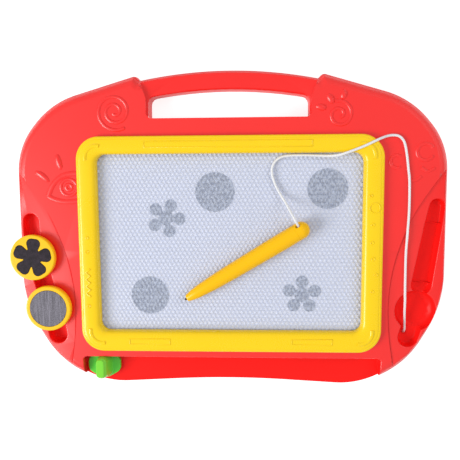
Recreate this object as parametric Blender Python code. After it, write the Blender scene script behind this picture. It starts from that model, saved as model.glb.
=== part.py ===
# Magnetic drawing board, lying on its flat back.
# +X is to the right, +Y towards the carrying handle, +Z up, away from the back.
# The origin is on the back, under the middle of the yellow frame.

import math

import bmesh
import bpy
from mathutils import Matrix, Vector

mm = 0.001

# The window and the yellow frame round it
window_half_width = 115.05 * mm
window_half_height = 77.95 * mm
window_radius = 8.0 * mm
window_rise = 1.4 * mm
frame_band = 17.0 * mm
frame_radius = 20.0 * mm
frame_height = 5.8 * mm
leg_thickness = 1.6 * mm
leg_width = 12.0 * mm
barb_reach = 0.9 * mm
barb_height = 1.8 * mm
leg_depth = 2.3 * mm

# The red shell, with its margins beside, above and below the frame
side_margin = 56.35 * mm
upper_margin = 55.65 * mm
lower_margin = 34.55 * mm
shell_height = 22.0 * mm
shell_wall = 2.4 * mm
face_wall = 2.2 * mm
rim_inset = 1.6 * mm
rim_height = 9.0 * mm
edge_rounding = 9.0 * mm
gap = 0.3 * mm
loose_gap = 0.8 * mm
overrun = 4.0 * mm
least_radius = 0.8 * mm

# Corner radii of its outline
foot_radius = 74.0 * mm
lower_corner_radius = 79.0 * mm
flank_radius = 104.0 * mm
side_radius = 73.0 * mm
shoulder_radius = 76.0 * mm
handle_root_radius = 4.0 * mm
notch_radius = 2.0 * mm
bottom_hollow_radius = 900.0 * mm

# The carrying handle
slot_half_width = 69.2 * mm
slot_margin = 15.05 * mm
slot_rise = 6.2 * mm
handle_thickness = 16.9 * mm
handle_foot = 7.4 * mm
notch_width = 3.9 * mm
slot_corner_radius = 6.0 * mm
slot_foot_radius = 2.0 * mm
handle_drop = 3.0 * mm
handle_margin = 1.7 * mm
handle_rounding = 1.4 * mm

# The wings, a little lower than the main plate
wing_step = 1.0 * mm
wing_slope_share = 0.05
wing_margin = 6.95 * mm

# The eraser band along the lower edge
band_margin = 6.95 * mm
band_outset = 0.95 * mm
band_end_radius = 3.0 * mm

# The stamp groove, the pen tray, the finger well and the cord recess
tray_rounding = 2.0 * mm
grip_clearance = 2.4 * mm
tray_clearance = 1.2 * mm
tray_rib_width = 1.2 * mm
tray_rib_depth = 0.9 * mm
well_radius = 17.9 * mm
well_drop = 2.0 * mm
recess_half_width = 8.8 * mm
anchor_hole_radius = 2.3 * mm

# The screen
screen_margin = 8.0 * mm
film_thickness = 0.6 * mm
core_thickness = 1.6 * mm
cell_pitch = 3.84 * mm
cells_across_well = 4
well_wall = 0.9 * mm
well_depth = 0.9 * mm
retainer_width = 8.0 * mm
retainer_thickness = 2.0 * mm
retainer_overlap = 6.0 * mm

# The back cover and the screws
cover_thickness = 2.5 * mm
cover_gap = 0.4 * mm
cup_height = 6.0 * mm
cup_radius = 6.2 * mm
counterbore_radius = 4.2 * mm
counterbore_depth = 4.0 * mm
boss_radius = 4.0 * mm
screw_radius = 1.4 * mm
screw_cover = 5.0 * mm
short_screw_length = 4.6 * mm
screw_head_radius = 3.3 * mm
screw_head_height = 1.9 * mm

# The eraser
knob_half_width = 15.2 * mm
knob_reach = 22.2 * mm
knob_plate = 3.4 * mm
knob_corner_radius = 8.0 * mm
fin_half_width = 4.0 * mm
fin_height = 17.2 * mm
fin_rounding = 2.2 * mm
fin_shift = 0.5 * mm
fin_setback = 4.6 * mm
knob_margin = 1.6 * mm
tongue_half_width = 5.0 * mm
tongue_thickness = 1.8 * mm
tongue_overlap = 9.1 * mm
peg_radius = 2.4 * mm
carriage_half_width = 7.0 * mm
carriage_inset = 0.95 * mm
carriage_height = 4.5 * mm
carriage_gap = 0.4 * mm
carriage_groove_depth = 1.0 * mm
magnet_half_width = 4.0 * mm
magnet_thickness = 1.8 * mm
magnet_inset = 5.0 * mm
rail_half_width = 1.0 * mm
rail_inset = 17.0 * mm

# The pen
pen_radius = 7.6 * mm
pen_nose_radius = 3.6 * mm
pen_nose_tip_radius = 2.6 * mm
pen_length = 126.0 * mm
pen_wall = 1.9 * mm
pen_turn = math.radians(211.3)
pen_tail_x = 61.9 * mm
pen_tail_y = 13.6 * mm
cap_length = 4.3 * mm
spigot_length = 8.0 * mm
point_radius = 1.1 * mm
point_reach = 2.2 * mm
point_collar_radius = 2.3 * mm
point_collar_length = 2.0 * mm
pen_magnet_length = 9.0 * mm
knot_radius = 1.8 * mm
knot_depth = 3.0 * mm
eye_half_width = 1.4 * mm
eye_back = 0.6 * mm
eye_front = 1.6 * mm

# Bulge of the barrel: shares of the way to its front and of its radius; it rests on the first two
barrel_shares = ((0.40, 0.962), (0.69, 0.885), (0.895, 0.70))

# The stamps
stamp_radius = 20.2 * mm
stamp_thickness = 7.4 * mm
stamp_rounding = 1.2 * mm
grip_radius = 5.9 * mm
grip_foot_radius = 4.7 * mm
stamp_magnet_thickness = 2.6 * mm
stamp_rim = 3.9 * mm
petal_reach_share = 0.911
petal_radius_share = 0.329
petal_waist_share = 0.31
flower_turn = math.radians(83.0)

# The cord
cord_radius = 1.1 * mm
cord_step = 4.9 * mm
anchor_knot_radius = 2.0 * mm

# Sizes across that follow from the sizes above
frame_half_width = window_half_width + frame_band
frame_half_height = window_half_height + frame_band
board_half_width = frame_half_width + side_margin
board_reach_up = frame_half_height + upper_margin
board_reach_down = frame_half_height + lower_margin
wing_start = frame_half_width + wing_margin
slot_bottom = frame_half_height + slot_margin
slot_crown = board_reach_up - handle_thickness
slot_side_top = slot_crown - slot_rise
band_line = -frame_half_height - band_margin
band_half_width = frame_half_width + band_outset
knob_rest = knob_half_width + knob_margin - band_half_width
carriage_half_length = window_half_height - carriage_inset
magnet_length = carriage_half_length - magnet_inset
rail_place = carriage_half_length - rail_inset
tongue_end = window_rise - carriage_half_length + tongue_overlap
groove_half_width = grip_radius + grip_clearance
tray_half_width = pen_radius + tray_clearance
stamp_magnet_radius = stamp_radius - stamp_rim

# Heights that follow from the sizes above
face_underside = shell_height - face_wall
film_top = face_underside - gap
core_top = film_top - film_thickness - gap
back_film_top = core_top - core_thickness - gap
retainer_top = back_film_top - film_thickness - gap
retainer_bottom = retainer_top - retainer_thickness
handle_top = shell_height - handle_drop
eraser_top = back_film_top - film_thickness - carriage_gap
carriage_lift = eraser_top - 2 * gap - carriage_height
tongue_bottom = carriage_lift
tongue_top = tongue_bottom + tongue_thickness
band_floor = carriage_lift - 2 * gap
tray_floor = band_floor
well_floor = tray_floor - well_drop
stamp_underside = shell_height - wing_step + gap
stamp_top = stamp_underside + stamp_thickness
screw_length = shell_height - cup_height - screw_cover

# Places on the board: share of the side margin out from the frame, share of the reach up or down.
# Outline corners of the right half, from the lower edge to the shoulder
outline_shares = (
    (-0.297, -1.001, foot_radius, 9),
    (0.452, -0.825, lower_corner_radius, 9),
    (0.998, -0.419, flank_radius, 9),
    (0.991, 0.575, side_radius, 9),
    (0.421, 0.831, shoulder_radius, 9),
)
root_share = 0.978
notch_share = 0.9495
hollow_share = -0.952

# The line where a wing meets the main plate
crease_shares = (
    (1.2005, 0.532),
    (0.922, 0.420),
    (0.656, 0.282),
    (0.478, 0.173),
    (0.322, 0.0385),
    (0.2085, -0.108),
    (0.141, -0.2625),
    (0.113, -0.432),
    (0.134, -0.606),
    (0.177, -0.750),
    (0.230, -0.870),
    (0.292, -0.960),
)

# Centre lines of the groove and the tray, each point with its share of the full width,
# and the places of the recess, the well, the cord's hole and the stamps
groove_shares = (
    (0.792, 0.139, 0.83),
    (0.785, 0.070, 0.87),
    (0.7355, -0.0795, 0.95),
    (0.627, -0.260, 0.99),
    (0.517, -0.432, 1.00),
    (0.423, -0.629, 0.99),
)
tray_shares = ((0.831, 0.218, 0.74), (0.785, 0.1195, 0.84), (0.624, -0.274, 1.00))
tray_rib_shares = (0.21, 0.98)
well_share = (0.5385, -0.454)
recess_shares = ((0.514, -0.533), (0.436, -0.636))
anchor_share = (0.4073, -0.6170)
flower_share = (0.7355, -0.0795)
round_share = (0.517, -0.432)

# Screws of the back cover
cover_screw_shares = ((-0.638, 0.843), (0.498, 0.5525), (0.194, 0.0), (0.2475, -0.765))

# Section of the yellow frame: share of the way in from its edge, share of its height, round the ring
frame_section_shares = (
    (0.00, 0.05),
    (0.00, 0.66),
    (0.04, 0.84),
    (0.11, 0.94),
    (0.45, 1.00),
    (0.85, 0.93),
    (0.92, 0.80),
    (1.00, -0.36),
    (0.90, -0.36),
    (0.80, 0.58),
    (0.12, 0.58),
    (0.12, 0.05),
)

# The skirt under the frame: its width as a share of the frame's
skirt_share = 0.18

# Clips of the frame: their places along the long and the short sides, as shares of the half sizes
long_side_clip_share = 0.53
clip_line_share = 0.27

# Route of the cord in millimetres, from the knot in the pen to the knot under the finger well
cord_route = (
    (59.4, 17.6, 32.7),
    (58.0, 20.1, 35.1),
    (56.2, 23.3, 36.2),
    (54.2, 27.2, 34.8),
    (48.8, 37.0, 25.4),
    (46.1, 41.3, 22.3),
    (43.4, 45.8, 21.1),
    (39.9, 52.8, 20.9),
    (37.4, 60.6, 20.9),
    (37.3, 67.0, 20.9),
    (40.0, 72.4, 20.9),
    (45.3, 76.0, 20.9),
    (52.9, 77.3, 20.9),
    (65.3, 77.4, 20.9),
    (77.0, 77.0, 21.1),
    (86.0, 76.7, 23.2),
    (92.5, 77.2, 26.6),
    (98.7, 78.9, 29.0),
    (113.2, 84.3, 29.5),
    (124.4, 89.4, 29.0),
    (129.4, 91.5, 27.3),
    (134.2, 93.0, 24.9),
    (139.0, 93.6, 23.6),
    (143.2, 93.0, 23.4),
    (146.6, 90.6, 23.4),
    (148.9, 86.2, 23.4),
    (150.7, 77.9, 23.4),
    (152.3, 65.9, 23.4),
    (153.6, 54.1, 23.4),
    (153.9, 30.0, 23.4),
    (152.9, 7.0, 23.2),
    (152.4, -10.0, 22.1),
    (152.6, -40.0, 21.9),
    (153.2, -49.0, 20.3),
    (154.2, -62.0, 15.6),
    (154.8, -71.0, 13.4),
    (155.0, -75.6, 12.9),
    (155.0, -78.3, 11.9),
    (155.0, -79.8, 9.4),
    (155.0, -79.9, 7.7),
)


def clear_scene():
    """Start from nothing."""
    for thing in list(bpy.data.objects):
        bpy.data.objects.remove(thing, do_unlink=True)


def material(name, colour, roughness, metallic=0.0):
    """A plain material with the piece's own colour."""
    found = bpy.data.materials.get(name) or bpy.data.materials.new(name)
    found.use_nodes = True
    shader = found.node_tree.nodes["Principled BSDF"]
    shader.inputs["Base Color"].default_value = (*colour, 1.0)
    shader.inputs["Roughness"].default_value = roughness
    shader.inputs["Metallic"].default_value = metallic
    return found


def red_plastic():
    return material("red_plastic", (0.90, 0.06, 0.05), 0.40)


def yellow_plastic():
    return material("yellow_plastic", (0.98, 0.66, 0.03), 0.30)


def green_plastic():
    return material("green_plastic", (0.07, 0.55, 0.08), 0.35)


def white_plastic():
    return material("white_plastic", (0.80, 0.80, 0.78), 0.45)


def film_plastic():
    return material("film_plastic", (0.68, 0.70, 0.78), 0.30)


def magnet_face():
    return material("magnet_face", (0.10, 0.09, 0.11), 0.45)


def black_plastic():
    return material("black_plastic", (0.02, 0.02, 0.02), 0.40)


def screw_steel():
    return material("screw_steel", (0.55, 0.56, 0.58), 0.35, 1.0)


def white_cord():
    return material("white_cord", (0.85, 0.86, 0.85), 0.70)


def place(share_x, share_y, side=1):
    """A place beside the frame, from its shares of the side margin and of the reach up or down."""
    reach = board_reach_up if share_y > 0 else board_reach_down
    return Vector((side * (frame_half_width + share_x * side_margin), share_y * reach))


def rounded_outline(corners, inset=0.0):
    """Anticlockwise outline from (x, y, radius, steps) corners, with all its sides moved in by inset."""
    points = [Vector(corner[:2]) for corner in corners]
    count = len(points)
    moved = []
    for index, point in enumerate(points):
        before = (point - points[index - 1]).normalized()
        after = (points[(index + 1) % count] - point).normalized()
        inwards = Vector((-before.y - after.y, before.x + after.x))
        moved.append(point + inwards * (inset / (1 + before.dot(after))))
    outline = []
    for index, corner in enumerate(corners):
        radius, steps = corner[2:]
        if radius == 0:
            outline.append(moved[index])
            continue
        back = moved[index - 1] - moved[index]
        ahead = moved[(index + 1) % count] - moved[index]
        turn = math.pi - back.angle(ahead)
        left_turn = back.x * ahead.y - back.y * ahead.x < 0
        if left_turn:
            radius = max(radius - inset, least_radius)
        reach = min(radius * math.tan(turn / 2), 0.46 * min(back.length, ahead.length))
        radius = reach / math.tan(turn / 2)
        middle = (back.normalized() + ahead.normalized()).normalized()
        centre = moved[index] + middle * (radius / math.cos(turn / 2))
        spoke = moved[index] + back.normalized() * reach - centre
        sense = 1 if left_turn else -1
        for step in range(steps + 1):
            outline.append(centre + Matrix.Rotation(sense * turn * step / steps, 2) @ spoke)
    return outline


def crown_corners(half_width, side_height, top_height, steps):
    """Plain corners on the round arc over a span, from its right end to its left, without the ends."""
    rise = top_height - side_height
    radius = (half_width**2 + rise**2) / (2 * rise)
    reach = math.asin(half_width / radius)
    turns = [reach * (1 - 2 * step / steps) for step in range(1, steps)]
    middle = top_height - radius
    return [(radius * math.sin(turn), middle + radius * math.cos(turn), 0, 1) for turn in turns]


def notch_place():
    """The corner where the handle meets the shell."""
    return slot_half_width + handle_foot, notch_share * board_reach_up


def board_outline(inset=0.0):
    """The outline of the red shell, moved in by inset."""
    right = [(*place(x, y), radius, steps) for x, y, radius, steps in outline_shares]
    notch_x, notch_y = notch_place()
    right.append((notch_x + notch_width, root_share * board_reach_up, handle_root_radius, 3))
    right.append((notch_x, notch_y, notch_radius, 2))
    left = [(-x, y, radius, steps) for x, y, radius, steps in reversed(right)]
    crown = crown_corners(notch_x, notch_y, board_reach_up, 14)
    hollow = (0.0, hollow_share * board_reach_down, bottom_hollow_radius, 4)
    return rounded_outline([*right, *crown, *left, hollow], inset)


def slot_outline(inset=0.0, drop=0.0):
    """The opening under the carrying handle; drop lowers its crown."""
    corners = [
        (slot_half_width, slot_bottom, slot_foot_radius, 2),
        (slot_half_width, slot_side_top - drop, slot_corner_radius, 3),
        *crown_corners(slot_half_width, slot_side_top - drop, slot_crown - drop, 12),
        (-slot_half_width, slot_side_top - drop, slot_corner_radius, 3),
        (-slot_half_width, slot_bottom, slot_foot_radius, 2),
    ]
    return rounded_outline(corners, inset)


def rectangle_outline(half_width, half_height, radius, rise=0.0, steps=6):
    """A rounded rectangle about the Y axis, its middle raised by rise."""
    corners = [
        (half_width, rise - half_height, radius, steps),
        (half_width, rise + half_height, radius, steps),
        (-half_width, rise + half_height, radius, steps),
        (-half_width, rise - half_height, radius, steps),
    ]
    return rounded_outline(corners)


def channel_outline(path, inset=0.0, end_steps=8):
    """Anticlockwise outline of a channel with round ends, from (x, y, half width) points."""
    points = [Vector(point[:2]) for point in path]
    widths = [point[2] - inset for point in path]
    sides = []
    for index in range(len(points)):
        first = points[max(index - 1, 0)]
        last = points[min(index + 1, len(points) - 1)]
        along = (last - first).normalized()
        sides.append(Vector((along.y, -along.x)))
    outline = [point + side * width for point, side, width in zip(points, sides, widths)]
    for step in range(1, end_steps):
        turn = Matrix.Rotation(math.pi * step / end_steps, 2)
        outline.append(points[-1] + turn @ sides[-1] * widths[-1])
    outline += [point - side * width for point, side, width in reversed(list(zip(points, sides, widths)))]
    for step in range(1, end_steps):
        turn = Matrix.Rotation(math.pi * step / end_steps, 2)
        outline.append(points[0] - turn @ sides[0] * widths[0])
    return outline


def circle_outline(radius, sides, centre=(0.0, 0.0)):
    """A regular outline about centre."""
    turns = [2 * math.pi * side / sides for side in range(sides)]
    return [Vector(centre) + radius * Vector((math.cos(turn), math.sin(turn))) for turn in turns]


def smooth_points(points, steps):
    """A smooth line through the points, with steps short runs between each two."""
    line = []
    for index in range(len(points) - 1):
        before = points[max(index - 1, 0)]
        start = points[index]
        end = points[index + 1]
        after = points[min(index + 2, len(points) - 1)]
        for step in range(steps):
            t = step / steps
            bend = (end - before) * t + (2 * before - 5 * start + 4 * end - after) * t**2
            line.append(start + 0.5 * (bend + (3 * start - before - 3 * end + after) * t**3))
    line.append(points[-1])
    return line


def level(outline, height):
    """An outline lifted to a height."""
    return [(point[0], point[1], height) for point in outline]


def new_object(name, mesh_maker, finish):
    """A named object from a bmesh, shaded smooth between faces that meet gently."""
    mesh = bpy.data.meshes.new(name)
    mesh_maker.to_mesh(mesh)
    mesh_maker.free()
    mesh.shade_smooth()
    mesh.set_sharp_from_angle(angle=math.radians(30))
    thing = bpy.data.objects.new(name, mesh)
    bpy.context.scene.collection.objects.link(thing)
    if finish:
        mesh.materials.append(finish)
    return thing


def add_rings(shape, rings, closed=False):
    """Walls between rings of equal count, capped at the ends or, when closed, joined end to end."""
    loops = [[shape.verts.new(point) for point in ring] for ring in rings]
    pairs = list(zip(loops, loops[1:]))
    if closed:
        pairs.append((loops[-1], loops[0]))
    for lower, upper in pairs:
        for index in range(len(lower)):
            following = (index + 1) % len(lower)
            shape.faces.new((lower[index], lower[following], upper[following], upper[index]))
    if not closed:
        shape.faces.new(list(reversed(loops[0])))
        shape.faces.new(loops[-1])


def ring_solid(name, rings, finish=None, closed=False, turn=None):
    """A solid through rings, lowest first, each anticlockwise seen from above."""
    shape = bmesh.new()
    add_rings(shape, rings, closed)
    if turn:
        shape.transform(turn)
    return new_object(name, shape, finish)


def turned_rings(stations, sides, centre=(0.0, 0.0)):
    """Rings of a turned piece from (height, radius) stations."""
    return [level(circle_outline(radius, sides, centre), height) for height, radius in stations]


def as_tool(thing):
    """Mark an object as a cutting shape, which isn't a piece."""
    thing.hide_render = True
    thing.display_type = "WIRE"
    return thing


def change(target, operation, *tools):
    """Cut target by tools, or join them to it, in turn."""
    for tool in tools:
        modifier = target.modifiers.new(tool.name, "BOOLEAN")
        modifier.operation = operation
        modifier.solver = "EXACT"
        modifier.object = as_tool(tool)


def box(name, low, high, finish=None):
    """A box between two corners."""
    outline = [(low[0], low[1]), (high[0], low[1]), (high[0], high[1]), (low[0], high[1])]
    return block(name, outline, low[2], high[2], finish)


def block(name, outline, low, high, finish=None):
    """A straight-sided solid over an outline, between two heights."""
    return ring_solid(name, [level(outline, low), level(outline, high)], finish)


def posts(name, centres, stations, sides):
    """Several turned shapes in one cutting tool."""
    shape = bmesh.new()
    for centre in centres:
        add_rings(shape, turned_rings(stations, sides, centre))
    return new_object(name, shape, None)


def both_sides(places):
    """The places and their mirror images."""
    return [Vector((side * point.x, point.y)) for point in places for side in (1, -1)]


def cover_screw_places():
    return both_sides([place(*shares) for shares in cover_screw_shares])


def screen_half_sizes():
    """Half width and half height of the films."""
    return window_half_width + screen_margin, window_half_height + screen_margin


def retainer_lines():
    """Inner edge of the lower and of the upper retaining strip."""
    reach = window_half_height + screen_margin - retainer_overlap
    return window_rise - reach, window_rise + reach


def retainer_screw_places():
    lower, upper = retainer_lines()
    across = screen_half_sizes()[0] + boss_radius + 2 * gap
    lines = (lower - retainer_width / 2, upper + retainer_width / 2)
    return [Vector((side * across, line)) for line in lines for side in (1, -1)]


def shell_levels(inset, lowest, highest):
    """Rings of the shell's rounded outside, or of its hollow when inset is a wall."""
    rings = [
        level(board_outline(rim_inset + inset), lowest),
        level(board_outline(inset), rim_height),
        level(board_outline(inset + edge_rounding * 0.06), highest - edge_rounding * 0.75),
        level(board_outline(inset + edge_rounding * 0.28), highest - edge_rounding * 0.36),
        level(board_outline(inset + edge_rounding * 0.58), highest - edge_rounding * 0.12),
        level(board_outline(inset + edge_rounding), highest),
    ]
    return rings


def wing_height(x):
    """Height of a wing's surface, which falls towards the side."""
    return shell_height - wing_step - wing_slope_share * (abs(x) - wing_start)


def wing_tool(name, side, sunk, spread):
    """The space above a wing, sunk below its surface, its inner edge moved in by spread."""
    crease = smooth_points([place(*shares) for shares in crease_shares], 2)
    inner = [Vector((side * (point.x - spread), point.y)) for point in crease]
    outer_x = side * (board_half_width + 4 * overrun)
    outline = [*inner, Vector((outer_x, inner[-1].y)), Vector((outer_x, inner[0].y))]
    area = sum(a.x * b.y - b.x * a.y for a, b in zip(outline, outline[1:] + outline[:1]))
    if area < 0:
        outline.reverse()
    low = [(point.x, point.y, wing_height(point.x) - sunk) for point in outline]
    return ring_solid(name, [low, level(outline, shell_height + overrun)])


def handle_step_outline(spread=0.0):
    """The region of the lowered grip, with its sides moved out by spread."""
    near = slot_half_width + handle_margin
    notch_x, notch_y = notch_place()
    above = board_reach_up + 2 * overrun
    far = near + (notch_x - near) * (above - slot_side_top) / (notch_y - slot_side_top)
    corners = [
        (near, slot_bottom + handle_margin, slot_foot_radius, 2),
        (near, slot_side_top, 0, 1),
        (far, above, 0, 1),
        (-far, above, 0, 1),
        (-near, slot_side_top, 0, 1),
        (-near, slot_bottom + handle_margin, slot_foot_radius, 2),
    ]
    return rounded_outline(corners, -spread)


def band_outline(spread=0.0):
    """The region of the eraser band, with its inner sides moved out by spread."""
    half = band_half_width + spread
    line = band_line + spread
    below = -board_reach_down - 2 * overrun
    return rounded_outline([(half, below, least_radius, 1), (half, line, band_end_radius, 3),
                            (-half, line, band_end_radius, 3), (-half, below, least_radius, 1)])


def groove_path():
    points = [Vector((*place(x, y, side=-1), width * groove_half_width)) for x, y, width in groove_shares]
    return smooth_points(points, 2)


def tray_path():
    return [Vector((*place(x, y), width * tray_half_width)) for x, y, width in tray_shares]


def recess_path():
    return [(*place(*shares), recess_half_width) for shares in recess_shares]


def trough(name, path, floor, spread=0.0, end_steps=8):
    """The hollow of a tray, or the block round it when spread is a wall."""
    stations = (
        (tray_rounding, floor - spread),
        (tray_rounding * 0.25, floor + tray_rounding * 0.9 - spread),
        (0.0, floor + tray_rounding * 2),
        (0.0, shell_height + overrun),
    )
    rings = [level(channel_outline(path, inset - spread, end_steps), height) for inset, height in stations]
    return ring_solid(name, rings)


def well(name, spread=0.0):
    """The round finger well, or the block round it."""
    centre = place(*well_share)
    radius = well_radius + spread
    stations = [
        (well_floor - spread, radius * 0.72),
        (well_floor - spread + tray_rounding * 0.8, radius * 0.90),
        (well_floor - spread + tray_rounding * 2.2, radius),
        (shell_height + overrun, radius),
    ]
    return ring_solid(name, turned_rings(stations, 28, centre))


def tray_ribs():
    """Two low ribs across the pen tray."""
    points = [point.to_2d() for point in tray_path()]
    start = points[0]
    along = (points[-1] - start).normalized()
    length = (points[-1] - start).length
    across = Vector((-along.y, along.x)) * (tray_half_width + face_wall / 2)
    shape = bmesh.new()
    for share in tray_rib_shares:
        middle = start + along * length * share
        half = along * tray_rib_width / 2
        near, far = middle - half, middle + half
        outline = [near - across, far - across, far + across, near + across]
        top = wing_height(middle.x) - tray_rib_depth
        add_rings(shape, [level(outline, tray_floor - face_wall / 2), level(outline, top)])
    ribs = new_object("tray_ribs_tool", shape, None)
    path = [(x, y, width - tray_rib_depth) for x, y, width in tray_path()]
    change(ribs, "DIFFERENCE", trough("tray_ribs_inside", path, tray_floor + tray_rib_depth))
    return ribs


def shell_hollow():
    """The inside of the front shell, with the walls of its trays, slot, band and bosses left standing."""
    hollow = ring_solid("shell_hollow", shell_levels(shell_wall, -overrun, face_underside))
    cup_top = cup_height + gap
    cover_boss = [(cup_top, boss_radius), (shell_height, boss_radius)]
    retainer_boss = [(retainer_top + gap, boss_radius), (shell_height, boss_radius)]
    above = shell_height + overrun
    keepers = [
        block("slot_wall", slot_outline(-shell_wall), -2 * overrun, shell_height),
        block("handle_plate", handle_step_outline(shell_wall), handle_top - face_wall, above),
        block("band_plate", band_outline(shell_wall), band_floor - face_wall, above),
        wing_tool("wing_plate_right", 1, face_wall, shell_wall),
        wing_tool("wing_plate_left", -1, face_wall, shell_wall),
        trough("groove_wall", groove_path(), tray_floor, face_wall),
        trough("tray_wall", tray_path(), tray_floor, face_wall),
        trough("recess_wall", recess_path(), tray_floor, face_wall),
        well("well_wall", face_wall),
        posts("cover_bosses", cover_screw_places(), cover_boss, 12),
        posts("retainer_bosses", retainer_screw_places(), retainer_boss, 12),
    ]
    change(hollow, "DIFFERENCE", *keepers)
    return hollow


def clip_places():
    """Middle and outward direction of each clip of the frame."""
    along_x = frame_half_width * long_side_clip_share
    reach_x = frame_half_width - clip_line_share * (frame_half_width - window_half_width)
    reach_y = frame_half_height - clip_line_share * (frame_half_height - window_half_height)
    clips = []
    for side in (1, -1):
        clips += [(Vector((along, side * reach_y)), Vector((0.0, side))) for along in (along_x, -along_x)]
        clips.append((Vector((side * reach_x, 0.0)), Vector((side, 0.0))))
    return clips


def clip_block(middle, outward, inner, outer, half_width):
    """Outline of a block across a clip's line, from inner to outer along outward."""
    side = Vector((abs(outward.y), abs(outward.x))) * half_width
    ends = (middle + outward * inner, middle + outward * outer)
    low = Vector((min(e.x for e in ends), min(e.y for e in ends))) - side
    high = Vector((max(e.x for e in ends), max(e.y for e in ends))) + side
    return [(low.x, low.y), (high.x, low.y), (high.x, high.y), (low.x, high.y)]


def clip_slots():
    """Slots in the plate for the frame's clips."""
    shape = bmesh.new()
    inner = -leg_thickness / 2 - gap
    outer = leg_thickness / 2 + barb_reach + gap
    for middle, outward in clip_places():
        outline = clip_block(middle, outward, inner, outer, leg_width / 2 + gap)
        add_rings(shape, [level(outline, face_underside - overrun), level(outline, shell_height + overrun)])
    return new_object("clip_slots_tool", shape, None)


def front_shell():
    """The red front: handle, wings, trays and eraser band in one moulding."""
    shell = ring_solid("front_shell", shell_levels(0.0, 0.0, shell_height), red_plastic())
    skirt = [half + frame_band * skirt_share + cover_gap for half in (window_half_width, window_half_height)]
    window = rectangle_outline(*skirt, window_radius, window_rise)
    slide_half = abs(knob_rest) + tongue_half_width + loose_gap
    anchor = place(*anchor_share)
    above = shell_height + overrun
    bore_radius = screw_radius + gap
    bores = [(cup_height, bore_radius), (cup_height + screw_length, bore_radius)]
    short_bores = [(retainer_top, bore_radius), (retainer_top + short_screw_length, bore_radius)]
    slot_heights = ((-overrun, 0.0), (handle_top - handle_rounding * 1.6, 0.0),
                    (handle_top - handle_rounding * 0.5, -handle_rounding * 0.35),
                    (handle_top, -handle_rounding), (shell_height + overrun, -handle_rounding * 1.5))
    slot_rings = [level(slot_outline(0.0, drop), height) for height, drop in slot_heights]
    change(
        shell,
        "DIFFERENCE",
        shell_hollow(),
        wing_tool("wing_tool_right", 1, 0.0, 0.0),
        wing_tool("wing_tool_left", -1, 0.0, 0.0),
        block("handle_step_tool", handle_step_outline(), handle_top, above),
        ring_solid("slot_tool", slot_rings),
        block("band_tool", band_outline(), band_floor, above),
        block("window_tool", window, face_underside - overrun, above),
        trough("groove_tool", groove_path(), tray_floor),
        trough("tray_tool", tray_path(), tray_floor),
        trough("recess_tool", recess_path(), tray_floor),
        well("well_tool"),
        box("tongue_slot_tool", (-slide_half, band_line - gap, tongue_bottom - gap),
            (slide_half, band_line + 2 * shell_wall, tongue_top + gap)),
        clip_slots(),
        posts("cover_bores", cover_screw_places(), bores, 10),
        posts("retainer_bores", retainer_screw_places(), short_bores, 10),
        posts("anchor_bore", [anchor], [(tray_floor - 2 * face_wall, anchor_hole_radius),
                                        (tray_floor + face_wall, anchor_hole_radius)], 12),
    )
    change(shell, "UNION", tray_ribs())
    return shell


def back_cover():
    """The flat rear plate with its screw cups and the two rails of the eraser."""
    inset = rim_inset + shell_wall + cover_gap
    plate = block("back_cover", board_outline(inset), 0.0, cover_thickness, red_plastic())
    cup = [(cover_thickness / 2, cup_radius), (cup_height, cup_radius)]
    cups = posts("cover_cups", cover_screw_places(), cup, 16)
    rail_half_length = abs(knob_rest) + carriage_half_width + cover_gap
    rail_top = carriage_lift + carriage_groove_depth - gap
    rails = [
        box("rail_upper", (-rail_half_length, rail_place - rail_half_width, cover_thickness / 2),
            (rail_half_length, rail_place + rail_half_width, rail_top)),
        box("rail_lower", (-rail_half_length, -rail_place - rail_half_width, cover_thickness / 2),
            (rail_half_length, -rail_place + rail_half_width, rail_top)),
    ]
    change(plate, "UNION", cups, *rails)
    hole = slot_outline(-shell_wall - cover_gap)
    counterbore = [(-overrun, counterbore_radius), (counterbore_depth, counterbore_radius)]
    bore = [(0.0, screw_radius + gap), (cup_height + overrun, screw_radius + gap)]
    change(
        plate,
        "DIFFERENCE",
        block("cover_slot_tool", hole, -overrun, overrun),
        posts("counterbores", cover_screw_places(), counterbore, 16),
        posts("cover_holes", cover_screw_places(), bore, 10),
    )
    return plate


def frame_ring(share, height):
    """The frame's outline at a share of the way from its edge to the window."""
    half_width = frame_half_width + (window_half_width - frame_half_width) * share
    half_height = frame_half_height + (window_half_height - frame_half_height) * share
    radius = frame_radius + (window_radius - frame_radius) * share
    outline = rectangle_outline(half_width, half_height, radius, window_rise * share, 8)
    return level(outline, shell_height + frame_height * height)


def bezel():
    """The yellow frame with its skirt round the window and its six clips."""
    rings = [frame_ring(share, height) for share, height in frame_section_shares]
    frame = ring_solid("bezel", rings, yellow_plastic(), closed=True)
    top = shell_height + frame_height * 0.75
    foot = face_underside - leg_depth
    inner = -leg_thickness / 2
    outer = leg_thickness / 2
    barb = outer + barb_reach
    hook = foot + barb_height
    hooked = ((outer, foot), (barb, hook - gap), (barb, hook), (outer, hook))
    profile = ((inner, foot), *hooked, (outer, top), (inner, top))
    shape = bmesh.new()
    for middle, outward in clip_places():
        along = Vector((-outward.y, outward.x)) * leg_width / 2
        rings = []
        for end in (middle + along, middle - along):
            rings.append([(*(end + outward * reach), height) for reach, height in profile])
        add_rings(shape, rings)
    change(frame, "UNION", new_object("frame_clips", shape, None))
    return frame


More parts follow.
